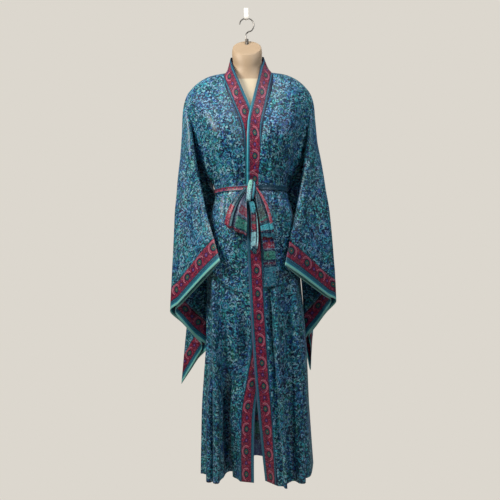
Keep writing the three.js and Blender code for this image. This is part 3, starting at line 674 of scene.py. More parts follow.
@dataclass
class PrintedSatin:
    """Polyester satin, woven with long floats and then printed.

    The floats give it a soft gloss, duller where it turns away, and a little sheen that lifts the dark dyes.
    add adds a node to it, place is where on the cloth a point is in millimetres, and colour is the print so
    far.
    """

    name: str
    add: Callable[..., Node] = field(init=False)
    place: Node = field(init=False)
    colour: Any = field(init=False)

    def material(self) -> Material:
        """Builds the finish.

        Returns:
            The material.
        """
        material, self.add = new_material(self.name)
        self.place = self.add("VectorMath.SCALE", self.add("UVMap", uv_map="cloth"), 1 / MM)
        self.draw()
        # The threads are about 0.1 mm wide, too fine to show, so their relief is drawn about 1 mm wide.
        threads = self.add("TexNoise", self.place, Scale=0.9, Detail=2.0)
        relief = self.add("Bump", Height=threads, Strength=0.10, Distance=0.0006)
        turned_away, roughness = (0.35, 0.85), (0.42, 0.95)
        facing = self.add("LayerWeight", Blend=0.5).outputs["Facing"]
        gloss = self.add("MapRange", facing, *turned_away, *roughness)
        weave = self.add("BsdfPrincipled", Base_Color=self.colour, Normal=relief, Roughness=gloss, IOR=1.5,
                         Specular_IOR_Level=0.36, Sheen_Weight=0.07, Sheen_Roughness=0.3)
        self.add("OutputMaterial", weave)
        return material

    def draw(self) -> None:
        """Draws the print."""
        raise NotImplementedError

    def shaken(self) -> Node:
        """Returns a slow noise that bends a print's lines, as a hand-drawn stencil's are."""
        return self.add("TexNoise", self.place, Scale=0.09, Detail=1.0)

    def lay(self, mask: Any, dye: Any, strength: float = 1.0) -> None:
        """Lays a dye over the print.

        Args:
            mask: One where the dye lies.
            dye: Its colour.
            strength: How far it covers.
        """
        if strength < 1:
            mask = self.add("Math.MULTIPLY", mask, strength)
        self.colour = self.add("Mix", mask, self.colour, dye, data_type="RGBA")

    def cells(self, size: float, place: Any) -> tuple[Node, Node]:
        """Returns the distance to the nearest leaf of a scattered pattern, and that leaf's random numbers."""
        cells = self.add("TexVoronoi", place, Scale=1 / size)
        return cells, self.add("SeparateColor", cells.outputs["Color"])

    def scatter(self, size: float, radius: float, strength: float, dyes: Stops) -> None:
        """Scatters small leaves or seeds, each in a dye of its own.

        Args:
            size: How far apart they are.
            radius: Their radius, as a share of that.
            strength: How far they cover.
            dyes: What they are picked from.
        """
        cells, pick = self.cells(size, self.place)
        inside = self.add("Math.LESS_THAN", cells, radius)
        self.lay(inside, self.add("ValToRGB", pick, stops=dyes), strength)

    def near(self, value: Any, middle: float, half: float) -> Node:
        """Returns one where a value is nearer to a middle one than half."""
        off = self.add("Math.ABSOLUTE", self.add("Math.SUBTRACT", value, middle))
        return self.add("Math.LESS_THAN", off, half)

    def beside(self, under: Any, draw: Callable[[], None]) -> Any:
        """Draws another print beside this one.

        Args:
            under: What it is drawn on.
            draw: What draws it.

        Returns:
            Its colour.
        """
        kept, self.colour = self.colour, under
        draw()
        drawn, self.colour = self.colour, kept
        return drawn


@dataclass
class GroundPrint(PrintedSatin):
    """The all-over print of the robe: small leaves, scrolls and blossoms in blues and greens.

    Its leaves are about 6 mm, with curled stems drawn between them, so that the print reads as fine and busy.
    end_piece adds the bolder blocks of the cloth's end at the foot of a panel.
    """

    name: str = "printed_satin"
    leaf: float = 5.6
    leaf_body: float = 0.36
    leaf_outline: float = 0.47
    scroll: float = 10.0
    turns: float = 3.3
    stroke: float = 0.36
    ring: float = 12.5
    ring_step: float = 0.25
    ring_line: float = 0.08
    blossom: float = 42.0
    blossom_body: float = 0.3
    warp: float = 4.0
    end_piece: bool = False
    end_reach: Plan = (1130.0, 1400.0)
    warped: Node = field(init=False)

    def draw(self) -> None:
        """Draws the print on a bent cloth, so that none of its lines runs straight."""
        centred = self.add("VectorMath.SUBTRACT", self.shaken().outputs["Color"], (0.5, 0.5, 0.5))
        pushed = self.add("VectorMath.SCALE", centred, self.warp * 2)
        self.warped = self.add("VectorMath.ADD", self.place, pushed)
        self.draw_leaves()
        self.draw_scrolls()
        self.draw_curls()
        self.draw_blossoms()
        drift = self.add("TexNoise", self.place, Scale=0.012, Detail=1.0)
        tint = self.add("ValToRGB", drift, smooth=True, stops=(
            (0.35, "dfe6ff"), (0.5, "ffffff"), (0.66, "eafff4")))
        self.colour = self.add("Mix", 1.0, self.colour, tint, data_type="RGBA", blend_type="MULTIPLY")
        if self.end_piece:
            self.draw_end_piece()

    def draw_leaves(self) -> None:
        """Draws small outlined leaves on the dark ground."""
        patches = self.add("TexNoise", self.warped, Scale=0.07, Detail=1.0)
        self.colour = self.add("ValToRGB", patches, smooth=True, stops=(
            (0.4, NAVY), (0.62, DEEP_TEAL)))
        slender = self.add("VectorMath.MULTIPLY", self.warped, (1.0, 0.72, 0.0))
        cells, pick = self.cells(self.leaf, slender)
        self.lay(self.add("Math.LESS_THAN", cells, self.leaf_outline), NAVY, 0.8)
        self.lay(self.add("Math.LESS_THAN", cells, self.leaf_body), self.add("ValToRGB", pick, stops=(
            (0.0, BLUE), (0.22, TEAL), (0.46, LEAF_GREEN), (0.6, TURQUOISE), (0.7, NAVY), (0.86, DEEP_TEAL),
            (0.95, VIOLET))))

    def draw_scrolls(self) -> None:
        """Draws curled stems over the leaves, as the level lines of a slow noise."""
        hills = self.add("TexNoise", self.warped, Scale=1 / self.scroll, Detail=0.6)
        level = self.add("Math.FRACT", self.add("Math.MULTIPLY", hills, self.turns))
        self.ink(self.add("Math.LESS_THAN", level, self.stroke), 0.8)

    def draw_curls(self) -> None:
        """Draws open rings and arcs between the stems."""
        rings = self.add("TexVoronoi", self.warped, Scale=1 / self.ring)
        level = self.add("Math.PINGPONG", rings, self.ring_step)
        line = self.add("Math.LESS_THAN", level, self.ring_line)
        breaks = self.add("TexNoise", self.warped, Scale=0.14, Detail=0.0)
        opened = self.add("Math.GREATER_THAN", breaks, 0.5)
        self.ink(self.add("Math.MULTIPLY", line, opened), 0.9)

    def ink(self, line: Node, strength: float) -> None:
        """Inks a line over the print in the pale dyes, which change every few millimetres.

        Args:
            line: One where the line is.
            strength: How far it covers.
        """
        pick = self.cells(1.4 * self.leaf, self.warped)[1].outputs["Green"]
        self.lay(line, self.add("ValToRGB", pick, stops=(
            (0.0, TURQUOISE), (0.26, GREY_BLUE), (0.5, TEAL), (0.64, BLUE), (0.76, PALE_TEAL),
            (0.9, LEAF_GREEN))), strength)

    def draw_blossoms(self) -> None:
        """Draws ringed blossoms over the print, one to each large cell."""
        blossoms = self.add("TexVoronoi", self.warped, Scale=1 / self.blossom, Randomness=0.8)
        rings = self.add("ValToRGB", blossoms, stops=(
            (0.0, LEAF_GREEN), (0.05, NAVY), (0.1, GREY_BLUE), (0.14, BLUE), (0.2, NAVY), (0.23, TURQUOISE),
            (0.27, NAVY)))
        self.lay(self.add("Math.LESS_THAN", blossoms, self.blossom_body), rings, 0.6)

    def draw_end_piece(self) -> None:
        """Draws the bolder blocks of the cloth's end piece over the foot of a panel."""
        level = self.add("SeparateXYZ", self.warped).outputs["Y"]
        blocks = self.add("MapRange", level, *self.end_reach)
        dyes = self.add("ValToRGB", blocks, stops=(
            (0.0, TEAL), (0.03, CRIMSON), (0.16, NAVY), (0.2, LEAF_GREEN), (0.36, DEEP_TEAL), (0.4, CRIMSON),
            (0.47, NAVY), (0.5, LEAF_GREEN), (0.66, NAVY), (0.75, VIOLET)))
        self.lay(self.add("Math.GREATER_THAN", blocks, 0.02), dyes, 0.62)


@dataclass
class BorderPrint(PrintedSatin):
    """A border of the same satin: stripes with a crimson field of curled paisleys, small flowers and sprigs.

    Attributes:
        width: The width of the band, in millimetres as all the rest.
        stripes: Where each stripe starts across it, and its dye.
        field_middle: The middle of the crimson field, with half its width in half_field.
        curl: The radius of a paisley's curl, with the half width of its line in line.
        repeat: The distance from one paisley to the next, with their length as a share of it in lengthen.
        turned_from: The place across the body where a sash turns over.
        edge: The width of a turned edge, whose dyes, with a painted highlight over the chest and painted
            shade at the neck and below the sash, start at the robe's foot.
        seed: How far apart the seeds of the stripes are, with the same for the field's leaves in leaf.
    """

    width: float
    stripes: Stops
    field_middle: float
    half_field: float
    curl: float = 13.0
    repeat: float = 74.0
    lengthen: float = 0.66
    line: float = 0.85
    turned_from: float | None = None
    edge: float = 0.0
    foot: float = -1600.0
    seed: float = 3.4
    leaf: float = 6.0
    off_centre: Node = field(init=False)
    along: Any = field(init=False)

    def draw(self) -> None:
        """Draws the stripes, the field, its flowers and hearts, and the paisleys' curls round the hearts."""
        place = self.add("SeparateXYZ", self.place)
        across, self.along = place.outputs["X"], place.outputs["Y"]
        share = self.add("Math.DIVIDE", across, self.width)
        self.off_centre = self.add("Math.SUBTRACT", across, self.field_middle)
        self.colour = self.add("ValToRGB", share, stops=[(at / self.width, dye) for at, dye in self.stripes])
        self.draw_seeds()
        self.lay(self.near(across, self.field_middle, self.half_field), self.beside(None, self.draw_reds))
        flower = ((0.0, SALMON), (0.2, VIOLET), (0.6, DARK_RED))
        heart = ((0.0, SALMON), (0.14, DARK_LEAF), (0.46, LEAF_GREEN), (0.6, NAVY), (0.88, DARK_RED))
        for shift, radius, stops in ((0.0, 0.42 * self.curl, flower), (0.5, 0.62 * self.curl, heart)):
            reach = self.add("VectorMath.LENGTH", self.spot(shift))
            part = self.add("Math.DIVIDE", reach, radius)
            dyes = self.add("ValToRGB", part, stops=stops)
            self.lay(self.add("Math.LESS_THAN", part, 1.0), dyes)
        self.draw_curls()
        if self.turned_from is not None:
            beyond = self.add("Math.GREATER_THAN", self.on_body("X"), self.turned_from * MM)
            self.lay(beyond, self.beside(DEEP_TEAL, self.draw_seeds))
        # The turned edge carries a painted highlight over the chest and painted shade at the neck and below
        # the sash.
        if self.edge:
            self.lay(self.add("Math.LESS_THAN", across, self.edge), self.edge_dyes_and_painted_light())

    def on_body(self, axis: str) -> Any:
        """Returns how far along an axis of the body a point is, in metres."""
        return self.add("SeparateXYZ", self.add("TexCoord").outputs["Object"]).outputs[axis]

    def edge_dyes_and_painted_light(self) -> Node:
        """Colours the turned edge by its height on the body: its teal dyes, with a painted highlight where it
        is palest over the chest and painted shade where it is dull at the neck and below the sash.

        Returns:
            Its dyes, with their painted highlight and painted shade.
        """
        share_up = self.add("MapRange", self.on_body("Z"), self.foot * MM, 0.0)
        return self.add("ValToRGB", share_up, stops=(
            (0.0, TEAL), (0.3, PURPLE_GREY), (0.56, TEAL), (0.6, TURQUOISE), (0.74, TURQUOISE), (0.8, TEAL),
            (0.84, DARK_BORDER)), smooth=True)

    def spot(self, shift: float) -> Node:
        """Finds the nearest motif of a row along the band.

        Args:
            shift: How far along its cell a motif is.

        Returns:
            The place about that motif.
        """
        cell = self.add("Math.FRACT", self.add("Math.MULTIPLY_ADD", self.along, 1 / self.repeat, shift))
        reach = self.repeat * self.lengthen
        return self.add("CombineXYZ", self.off_centre, self.add("Math.MULTIPLY_ADD", cell, reach, -reach / 2))

    def draw_seeds(self) -> None:
        """Dots the plain stripes with small seeds."""
        self.scatter(self.seed, 0.3, 0.45, ((0.0, GREY_BLUE), (0.35, NAVY), (0.75, TURQUOISE)))

    def draw_reds(self) -> None:
        """Draws the crimson field with its small leaves and pale sprigs."""
        patches = self.add("TexNoise", self.place, Scale=0.11, Detail=1.0)
        self.colour = self.add("ValToRGB", patches, smooth=True, stops=(
            (0.44, DARK_RED), (0.6, CRIMSON), (0.76, SCARLET)))
        self.scatter(self.leaf, 0.34, 0.75, (
            (0.0, SCARLET), (0.45, DARK_RED), (0.7, VIOLET), (0.8, CRIMSON), (0.92, DARK_LEAF)))
        hills = self.add("TexNoise", self.place, Scale=0.085, Detail=1.4)
        level = self.add("Math.PINGPONG", hills, 0.09)
        self.lay(self.add("Math.LESS_THAN", level, 0.011), ROSE, 0.6)

    def draw_curls(self) -> None:
        """Draws the two pale open curls of each paisley, one inside the other, round its heart."""
        spot = self.spot(0.5)
        closed_side = (0.94, -0.34, 0.0)
        for radius, width, open_from in ((self.curl, self.line, -0.25 * self.curl),
                                         (0.78 * self.curl, 0.5 * self.line, 0.1 * self.curl)):
            line = self.near(self.add("VectorMath.LENGTH", spot), radius, width)
            side = self.add("VectorMath.DOT_PRODUCT", spot, closed_side)
            shut = self.add("Math.GREATER_THAN", side, open_from)
            self.lay(self.add("Math.MULTIPLY", line, shut), ROSE)


@dataclass
class EndPiecePrint(PrintedSatin):
    """The bolder end piece of the cloth that the sash is cut from: blocks of colour, with strips along it.

    Attributes:
        length: The length of the ribbon, in millimetres as all the rest.
        blocks: Where each block starts along it, and its dye.
        strips: Strips over the blocks: from and to across, from and to along, and dye.
        shake: How far their edges wander, with the distance from one small leaf to the next in leaf.
    """

    length: float
    blocks: Stops
    strips: tuple[tuple[float, float, float, float, str], ...] = ()
    shake: float = 5.0
    leaf: float = 6.0

    def draw(self) -> None:
        """Draws the blocks and strips, with small stems and leaves scattered over them."""
        place = self.add("SeparateXYZ", self.place)
        along = self.add("Math.MULTIPLY_ADD", self.shaken(), self.shake, place.outputs["Y"])
        share = self.add("Math.DIVIDE", along, self.length)
        self.colour = self.add("ValToRGB", share, stops=[(at / self.length, dye) for at, dye in self.blocks])
        for first, last, start, end, dye in self.strips:
            inside = [self.near(value, (low + high) / 2, (high - low) / 2)
                      for value, low, high in ((place.outputs["X"], first, last), (along, start, end))]
            self.lay(self.add("Math.MULTIPLY", *inside), dye)
        hills = self.add("TexNoise", self.place, Scale=0.1, Detail=1.0)
        for phase, cover, dye in ((1.0, 0.6, NAVY), (1.51, 0.22, PALE_TEAL)):
            level = self.add("Math.FRACT", self.add("Math.MULTIPLY_ADD", hills, 3.4, phase))
            self.lay(self.add("Math.LESS_THAN", level, 0.26), dye, cover)
        cells, pick = self.cells(self.leaf, self.place)
        near = self.add("Math.LESS_THAN", cells, 0.3)
        kept = self.add("Math.GREATER_THAN", pick.outputs["Green"], 0.4)
        self.lay(self.add("Math.MULTIPLY", near, kept), self.add("ValToRGB", pick, stops=(
            (0.0, NAVY), (0.3, LEAF_GREEN), (0.5, TURQUOISE), (0.66, SCARLET), (0.82, GREY_BLUE))), 0.6)


@dataclass(frozen=True)
class MouldedForm:
    """Blow-moulded polyethylene in cream, with a tan neck that meets it in a hard line at a level.

    Its matt skin spreads the light softly, and its tone drifts a little over patches of about 40 mm.
    """

    name: str = "moulded_form_plastic"
    neck_level: float = -263.0
    blend: float = 4.0

    def material(self) -> Material:
        """Builds the finish, faintly mottled as moulded plastic is.

        Returns:
            The material.
        """
        material, add = new_material(self.name)
        place = add("TexCoord").outputs["Object"]
        mottle = add("TexNoise", place, Scale=24.0, Detail=3.0)
        level = add("SeparateXYZ", place).outputs["Z"]
        rise = add("MapRange", level, self.neck_level * MM, (self.neck_level + self.blend) * MM)
        base = add("Mix", rise, CREAM, TAN, data_type="RGBA")
        shade = add("MapRange", mottle, To_Min=0.94, To_Max=1.04)
        tone = add("VectorMath.SCALE", base, shade)
        relief = add("Bump", Height=mottle, Strength=0.06, Distance=0.001)
        add("OutputMaterial", add("BsdfPrincipled", Base_Color=tone, Normal=relief, Roughness=0.52, IOR=1.5))
        return material


@dataclass(frozen=True)
class HardFinish:
    """A plain hard finish: drawn steel wire, its dark steel ferrule, or gloss enamel put on with a brush.

    Its marks break up the reflections. Real ones are about 0.1 mm wide, too fine to show, so mark_scale,
    which is to the metre, draws them about 1.7 mm wide. mark is how far they change the roughness.
    """

    name: str
    colour: str
    roughness: float
    metallic: float = 0.0
    mark: float = 0.05
    mark_scale: float = 600.0

    def material(self) -> Material:
        """Builds the finish.

        Returns:
            The material.
        """
        material, add = new_material(self.name)
        marks = add("TexNoise", add("TexCoord").outputs["Object"], Scale=self.mark_scale, Detail=2.0)
        rough = add("MapRange", marks, To_Min=self.roughness - self.mark, To_Max=self.roughness + self.mark)
        surface = add("BsdfPrincipled", Base_Color=self.colour, Metallic=self.metallic, Roughness=rough)
        add("OutputMaterial", surface)
        return material


FRONT_STRIPES = ((0, TURQUOISE), (1.8, GREY_BLUE), (3, TEAL), (8, DARK_BORDER), (10.5, CRIMSON),
                 (42, DARK_BORDER), (45, TEAL), (48, NAVY))
CUFF_STRIPES = ((0, PALE_TEAL), (2.5, MINT), (10, TURQUOISE), (12.5, TEAL), (19, DARK_BORDER), (21, TEAL),
                (24, NAVY), (26.5, CRIMSON))
BELT_STRIPES = ((0, TEAL), (2.2, CRIMSON), (13.6, DARK_BORDER), (15, TEAL))


# ---- the robe ------------------------------------------------------------------------------------
RIGHT_CREASES = table(Crease, (
    ((-152, -350), (-88, -545), 17, 6, 6), ((-112, -330), (-60, -500), 20, 3, -8),
    ((-182, -420), (-152, -612), 7, -5, 5, 0.8), ((-160, -460), (-138, -622), 6, -5, -3, 0.8),
    ((-138, -500), (-124, -626), 5, -4.6, 3, 0.8), ((-106, -530), (-98, -622), 5, -4, -2, 0.8),
    ((-84, -566), (-80, -620), 4.5, -3.4, 0, 0.8), ((-66, -492), (-50, -616), 5, -4.6, 3, 0.8),
    ((-36, -560), (-38, -618), 4.5, -3.2, 0, 0.8), ((-108, -640), (-116, -700), 6, -4.2, 2, 0.8),
    ((-84, -642), (-92, -748), 6, -4, -3, 0.8), ((-58, -642), (-70, -716), 5, -3.6, 0, 0.8),
    ((-34, -642), (-38, -690), 5, -3.2, 0, 0.8), ((-142, -876), (-36, -962), 9, 6, -9, 0.3),
    ((-132, -908), (-40, -984), 7.5, -9, -6, 0.4), ((-127, -890), (-137, -1680), 7, 15, 2, 0),
    ((-143, -905), (-152, -1680), 9, -26, -1, 0), ((-50, -975), (-60, -1480), 8, 14, -4, 0.1),
    ((-30, -1000), (-42, -1680), 9, -20, 3, 0), ((-100, -990), (-100, -1600), 12, -14, 4, 0.5),
    ((-78, -1240), (-84, -1680), 8, -16, -5, 0.6), ((-112, -1250), (-120, -1640), 9, 5, 4, 0.3),
    ((-84, -1100), (-124, -1200), 9, 2.6, -5), ((-120, -1330), (-64, -1400), 10, 2.4, 6),
    ((-36, -1186), (-8, -1198), 4.5, -3.6, 0, 0.8), ((-46, -1220), (-10, -1238), 4.5, -4.4, 0, 0.8),
    ((-50, -1260), (-16, -1274), 4.5, -3.6, 0, 0.8),
))
LEFT_CREASES = table(Crease, (
    ((150, -345), (112, -560), 18, 5, -6), ((108, -320), (66, -480), 20, 3, 6),
    ((184, -410), (152, -600), 7, -5, -4, 0.8), ((160, -446), (138, -626), 6, -5, 3, 0.8),
    ((122, -466), (94, -618), 6, -5, -3, 0.8), ((140, -540), (122, -626), 5, -4.4, 0, 0.8),
    ((74, -460), (46, -612), 6, -5.8, 3, 0.8), ((100, -430), (74, -560), 7, -4, -3, 0.7),
    ((86, -556), (78, -618), 4.5, -3.6, 0, 0.8), ((108, -640), (122, -742), 6, -4.2, -2, 0.8),
    ((84, -642), (92, -704), 6, -4, 3, 0.8), ((60, -642), (66, -716), 5, -3.4, 0, 0.8),
    ((126, -640), (138, -700), 5, -4.4, 0, 0.8), ((49, -865), (76, -1680), 8, -22, -2, 0),
    ((67, -885), (90, -1540), 7, 14, -4, 0.1), ((90, -1100), (106, -1680), 9, -20, 4, 0.4),
    ((112, -930), (124, -1660), 9, -14, -6, 0.6), ((134, -915), (146, -1680), 7, 14, 4, 0.1),
    ((151, -960), (164, -1680), 8, -22, 0, 0), ((56, -896), (116, -926), 7, -7, -5, 0.8),
    ((60, -760), (112, -850), 12, 3, 6), ((130, -1250), (76, -1330), 10, 2.8, 5),
    ((96, -820), (150, -900), 9, -4.4, -6),
))
RIGHT_BAND_CREASES = table(Crease, (
    ((-34, -1192), (16, -1204), 4, -2.6, 2, 0.8), ((-36, -1224), (10, -1238), 4, -3, -2, 0.8),
    ((-40, -1262), (6, -1272), 4, -2.6, 2, 0.8), ((-44, -1300), (2, -1318), 5, 2, 0, 0.8),
    ((-46, -1420), (-6, -1436), 5, 1.8, -2, 0.8),
))
LEFT_BAND_CREASES = table(Crease, (
    ((-6, -452), (30, -470), 4, 1.6, 0, 0.8), ((-8, -592), (24, -574), 5, 2, 0, 0.8),
    ((-14, -846), (30, -860), 5, 1.4, 0, 0.8), ((-4, -1176), (42, -1180), 3.5, -1.6, 0, 0.8),
    ((-2, -1192), (44, -1198), 3.5, 1.6, 0, 0.8), ((4, -1372), (48, -1360), 5, 1.6, 2, 0.8),
))
BACK_CREASES = table(Crease, (
    ((-150, -360), (-96, -560), 18, 5, -5), ((148, -352), (102, -572), 19, 4.6, 6),
    ((-60, -330), (-40, -560), 24, 3, 6), ((44, -340), (58, -540), 22, 3.2, -5),
    ((-116, -520), (-106, -622), 6, -4.4, 0, 0.8), ((-86, -550), (-80, -620), 5.5, -4, 0, 0.8),
    ((-54, -530), (-54, -622), 6, -4.6, 2, 0.8), ((-22, -556), (-22, -620), 5, -3.8, 0, 0.8),
    ((12, -540), (10, -622), 6, -4.4, 0, 0.8), ((44, -560), (42, -620), 5, -3.8, 0, 0.8),
    ((78, -530), (74, -622), 6, -4.6, -2, 0.8), ((108, -550), (100, -620), 6, -4.2, 0, 0.8),
    ((-100, -642), (-114, -770), 8, -4.6, 3, 0.7), ((-64, -642), (-72, -830), 9, -5, -3, 0.7),
    ((-24, -642), (-30, -760), 8, -4.4, 0, 0.7), ((18, -642), (28, -850), 9, -5, 3, 0.7),
    ((58, -642), (72, -780), 8, -4.4, -2, 0.7), ((96, -642), (112, -800), 8, -4.8, 0, 0.7),
    ((-118, -860), (-150, -1600), 16, 9, 8), ((-76, -900), (-92, -1610), 12, -11, -6, 0.3),
    ((-34, -840), (-40, -1600), 16, 8, 7), ((8, -940), (14, -1610), 12, -10, -5, 0.3),
    ((48, -860), (60, -1600), 15, 8.5, 5), ((92, -920), (112, -1610), 12, -11, 6, 0.3),
    ((128, -880), (158, -1600), 14, 8, -7), ((-140, -1120), (-60, -1230), 14, 3, 8),
    ((120, -1220), (40, -1320), 14, 2.8, -8),
))
RIGHT_SLEEVE_CREASES = table(Crease, (
    ((-204, -330), (-176, -620), 11, 5, -5), ((-226, -440), (-212, -720), 12, -4, 6),
    ((-206, -470), (-148, -760), 12, 5.4, 5), ((-180, -520), (-132, -770), 8, -4, 4),
    ((-246, -640), (-236, -950), 14, 4.4, -6), ((-210, -700), (-178, -900), 11, -4, -5),
    ((-170, -1020), (-250, -1240), 12, 3, 6),
))
LEFT_SLEEVE_CREASES = table(Crease, (
    ((206, -335), (182, -600), 11, 5, 5), ((228, -450), (220, -740), 12, -4, -5),
    ((212, -490), (158, -770), 12, 5.2, -6), ((184, -520), (136, -780), 8, -4, -4),
    ((254, -640), (248, -920), 14, 4.2, 6), ((216, -720), (178, -900), 11, -4, 4),
    ((196, -1000), (224, -1200), 12, 3, -5),
))


@dataclass
class RobeBody:
    """The robe's two fronts and its back, with the neck band and the front bands.

    Attributes:
        cloth: Thickness of a panel's shell, with that of a band, which is folded double, in band_cloth.
        rows: Mesh rows for each row of the solids, with columns and band_columns the same for their columns.
        band_sink: The most that a crease may sink in on a band.
        give: Levels up the robe, and the most that a crease may sink in at each on a panel.
        left_print: Where on the printed length the left front was cut.
        right: The right front's coarse grid, with the other panels' in left and back.
    """

    cloth: float = 0.9
    band_cloth: float = 1.3
    rows: int = 12
    columns: int = 5
    band_columns: int = 7
    band_sink: float = 3.0
    give: tuple[tuple[float, ...], tuple[float, ...]] = ((-960, -870, -470, -420), (26.0, 5.0, 5.0, 0.8))
    left_print: float = 900.0
    right: np.ndarray = field(init=False)
    left: np.ndarray = field(init=False)
    back: np.ndarray = field(init=False)

    def __post_init__(self) -> None:
        """Reads the three large panels through their tables."""
        self.right, self.left = (self.front(rows) for rows in (FRONT_RIGHT, FRONT_LEFT))
        self.back = self.back_panel()

    def front(self, rows: Sequence[FrontRow]) -> np.ndarray:
        """Returns a front panel's coarse grid, from the band's seam to the side."""
        control = np.array([row.control() for row in rows])
        return grid_through(control, STEPS_PER_ROW, steps(control.shape[1] - 1, STEPS_PER_COLUMN))

    def back_panel(self) -> np.ndarray:
        """Reads the back panel through its table; its edges are those of the fronts and the neckline.

        Returns:
            Its coarse grid.
        """
        shoulder, neck = self.right.shape[1] - 1, len(NECK_LINE) - 1
        control = []
        for row, right, left in zip(BACK, FRONT_RIGHT, FRONT_LEFT):
            first, last = ((side[0], side[1] + row.opening, side[2]) for side in (right.side, left.side))
            mirrored = [(-x, y, z) for x, y, z in (row.nape, row.blade)]
            control.append([first, row.blade, row.nape, row.centre, *mirrored, last])
        across = np.concatenate([2 * np.arange(shoulder) / shoulder, 2 + 2 * np.arange(neck) / neck,
                                 4 + 2 * np.arange(shoulder + 1) / shoulder])
        grid = grid_through(np.array(control), STEPS_PER_ROW, across)
        underarm = ARMHOLE_ROWS * STEPS_PER_ROW
        grid[underarm:, 0] = self.right[underarm:, -1]
        grid[underarm:, -1] = self.left[underarm:, -1]
        grid[0] = np.concatenate([self.right[0, :0:-1], [p.line for p in NECK_LINE[:-1]], self.left[0]])
        grid[0, shoulder] = self.right[0, 0]
        return grid

    def panel(self, cloth: Cloth, creases: Sequence[Crease], finish: Material, cut: Cut,
              print_start: float = 0.0) -> Piece:
        """Builds one large panel with its creases.

        Args:
            cloth: Its node, coarse grid and hand.
            creases: Its folds.
            finish: Its finish.
            cut: Its flat cut.
            print_start: Where on the printed length it was cut.

        Returns:
            The piece.
        """
        seams = ("top", "first", "last")
        cloth.refine(self.rows, self.columns)
        cloth.fold(creases, seams, np.interp(cloth.grid[..., 2], *self.give))
        cloth.draw_back(seams)
        across, down = cloth.lengths()
        return cloth.piece(self.cloth, finish, cut, (across + print_start, down), "patterned_satin")

    def band(self, cloth: Cloth, table: Sequence[FrontRow], creases: Sequence[Crease], finish: Material,
             cut: Cut) -> Piece:
        """Builds a front band from its free edge to the panel's seam.

        Args:
            cloth: Its node, its panel's coarse grid and its hand.
            table: The rows with its free edge.
            creases: Its folds.
            finish: Its finish.
            cut: Its flat cut.

        Returns:
            The piece.
        """
        edges = np.array([[row.edge, row.edge] for row in table], dtype=float)
        edge, seam = grid_through(edges, STEPS_PER_ROW, np.zeros(1))[:, 0], cloth.grid[:, 0]
        cloth.grid = np.stack([edge, (edge + seam) / 2, seam], axis=1)
        cloth.refine(self.rows, self.band_columns)
        cloth.fold(creases, ("top", "last"), self.band_sink, reach=3)
        cloth.draw_back(("top", "last"))
        return cloth.piece(self.band_cloth, finish, cut)

    def neck_band(self, finish: Material) -> Piece:
        """Builds the neck band, which stands up from the back neckline.

        Args:
            finish: Its finish.

        Returns:
            The piece.
        """
        shoulder = self.right.shape[1] - 1
        edge = np.array([p.edge for p in NECK_LINE], dtype=float)
        line = self.back[0, shoulder:shoulder + len(NECK_LINE)]
        cloth = Cloth("neck_band", np.stack([edge, (edge + line) / 2, line]), True)
        cloth.refine(self.rows, self.columns)
        cloth.draw_back(("foot", "first", "last"))
        return cloth.piece(self.band_cloth, finish, Cut(0.051, 0.235, 0.0115, "hung"), cloth.lengths()[::-1])

    def build(self, finishes: dict[str, Material]) -> list[Piece]:
        """Builds the panels and the bands.

        Args:
            finishes: The finishes by name.

        Returns:
            The pieces.
        """
        ground, border, form = finishes["ground"], finishes["border"], ("form_torso",)
        return [
            self.panel(Cloth("front_right", self.right, True), RIGHT_CREASES, ground,
                       Cut(0.39, 1.40, 0.35, "hung", form)),
            self.panel(Cloth("front_left", self.left), LEFT_CREASES, ground,
                       Cut(0.38, 1.39, 0.35, "hung", form), self.left_print),
            self.panel(Cloth("back", self.back, True), BACK_CREASES, finishes["back"],
                       Cut(0.56, 1.40, 0.64, "hung", form)),
            self.band(Cloth("front_band_right", self.right, True), FRONT_RIGHT, RIGHT_BAND_CREASES, border,
                      Cut(0.055, 1.43, 0.069, "hung")),
            self.band(Cloth("front_band_left", self.left), FRONT_LEFT, LEFT_BAND_CREASES, border,
                      Cut(0.059, 1.43, 0.070, "hung")),
            self.neck_band(border),
        ]


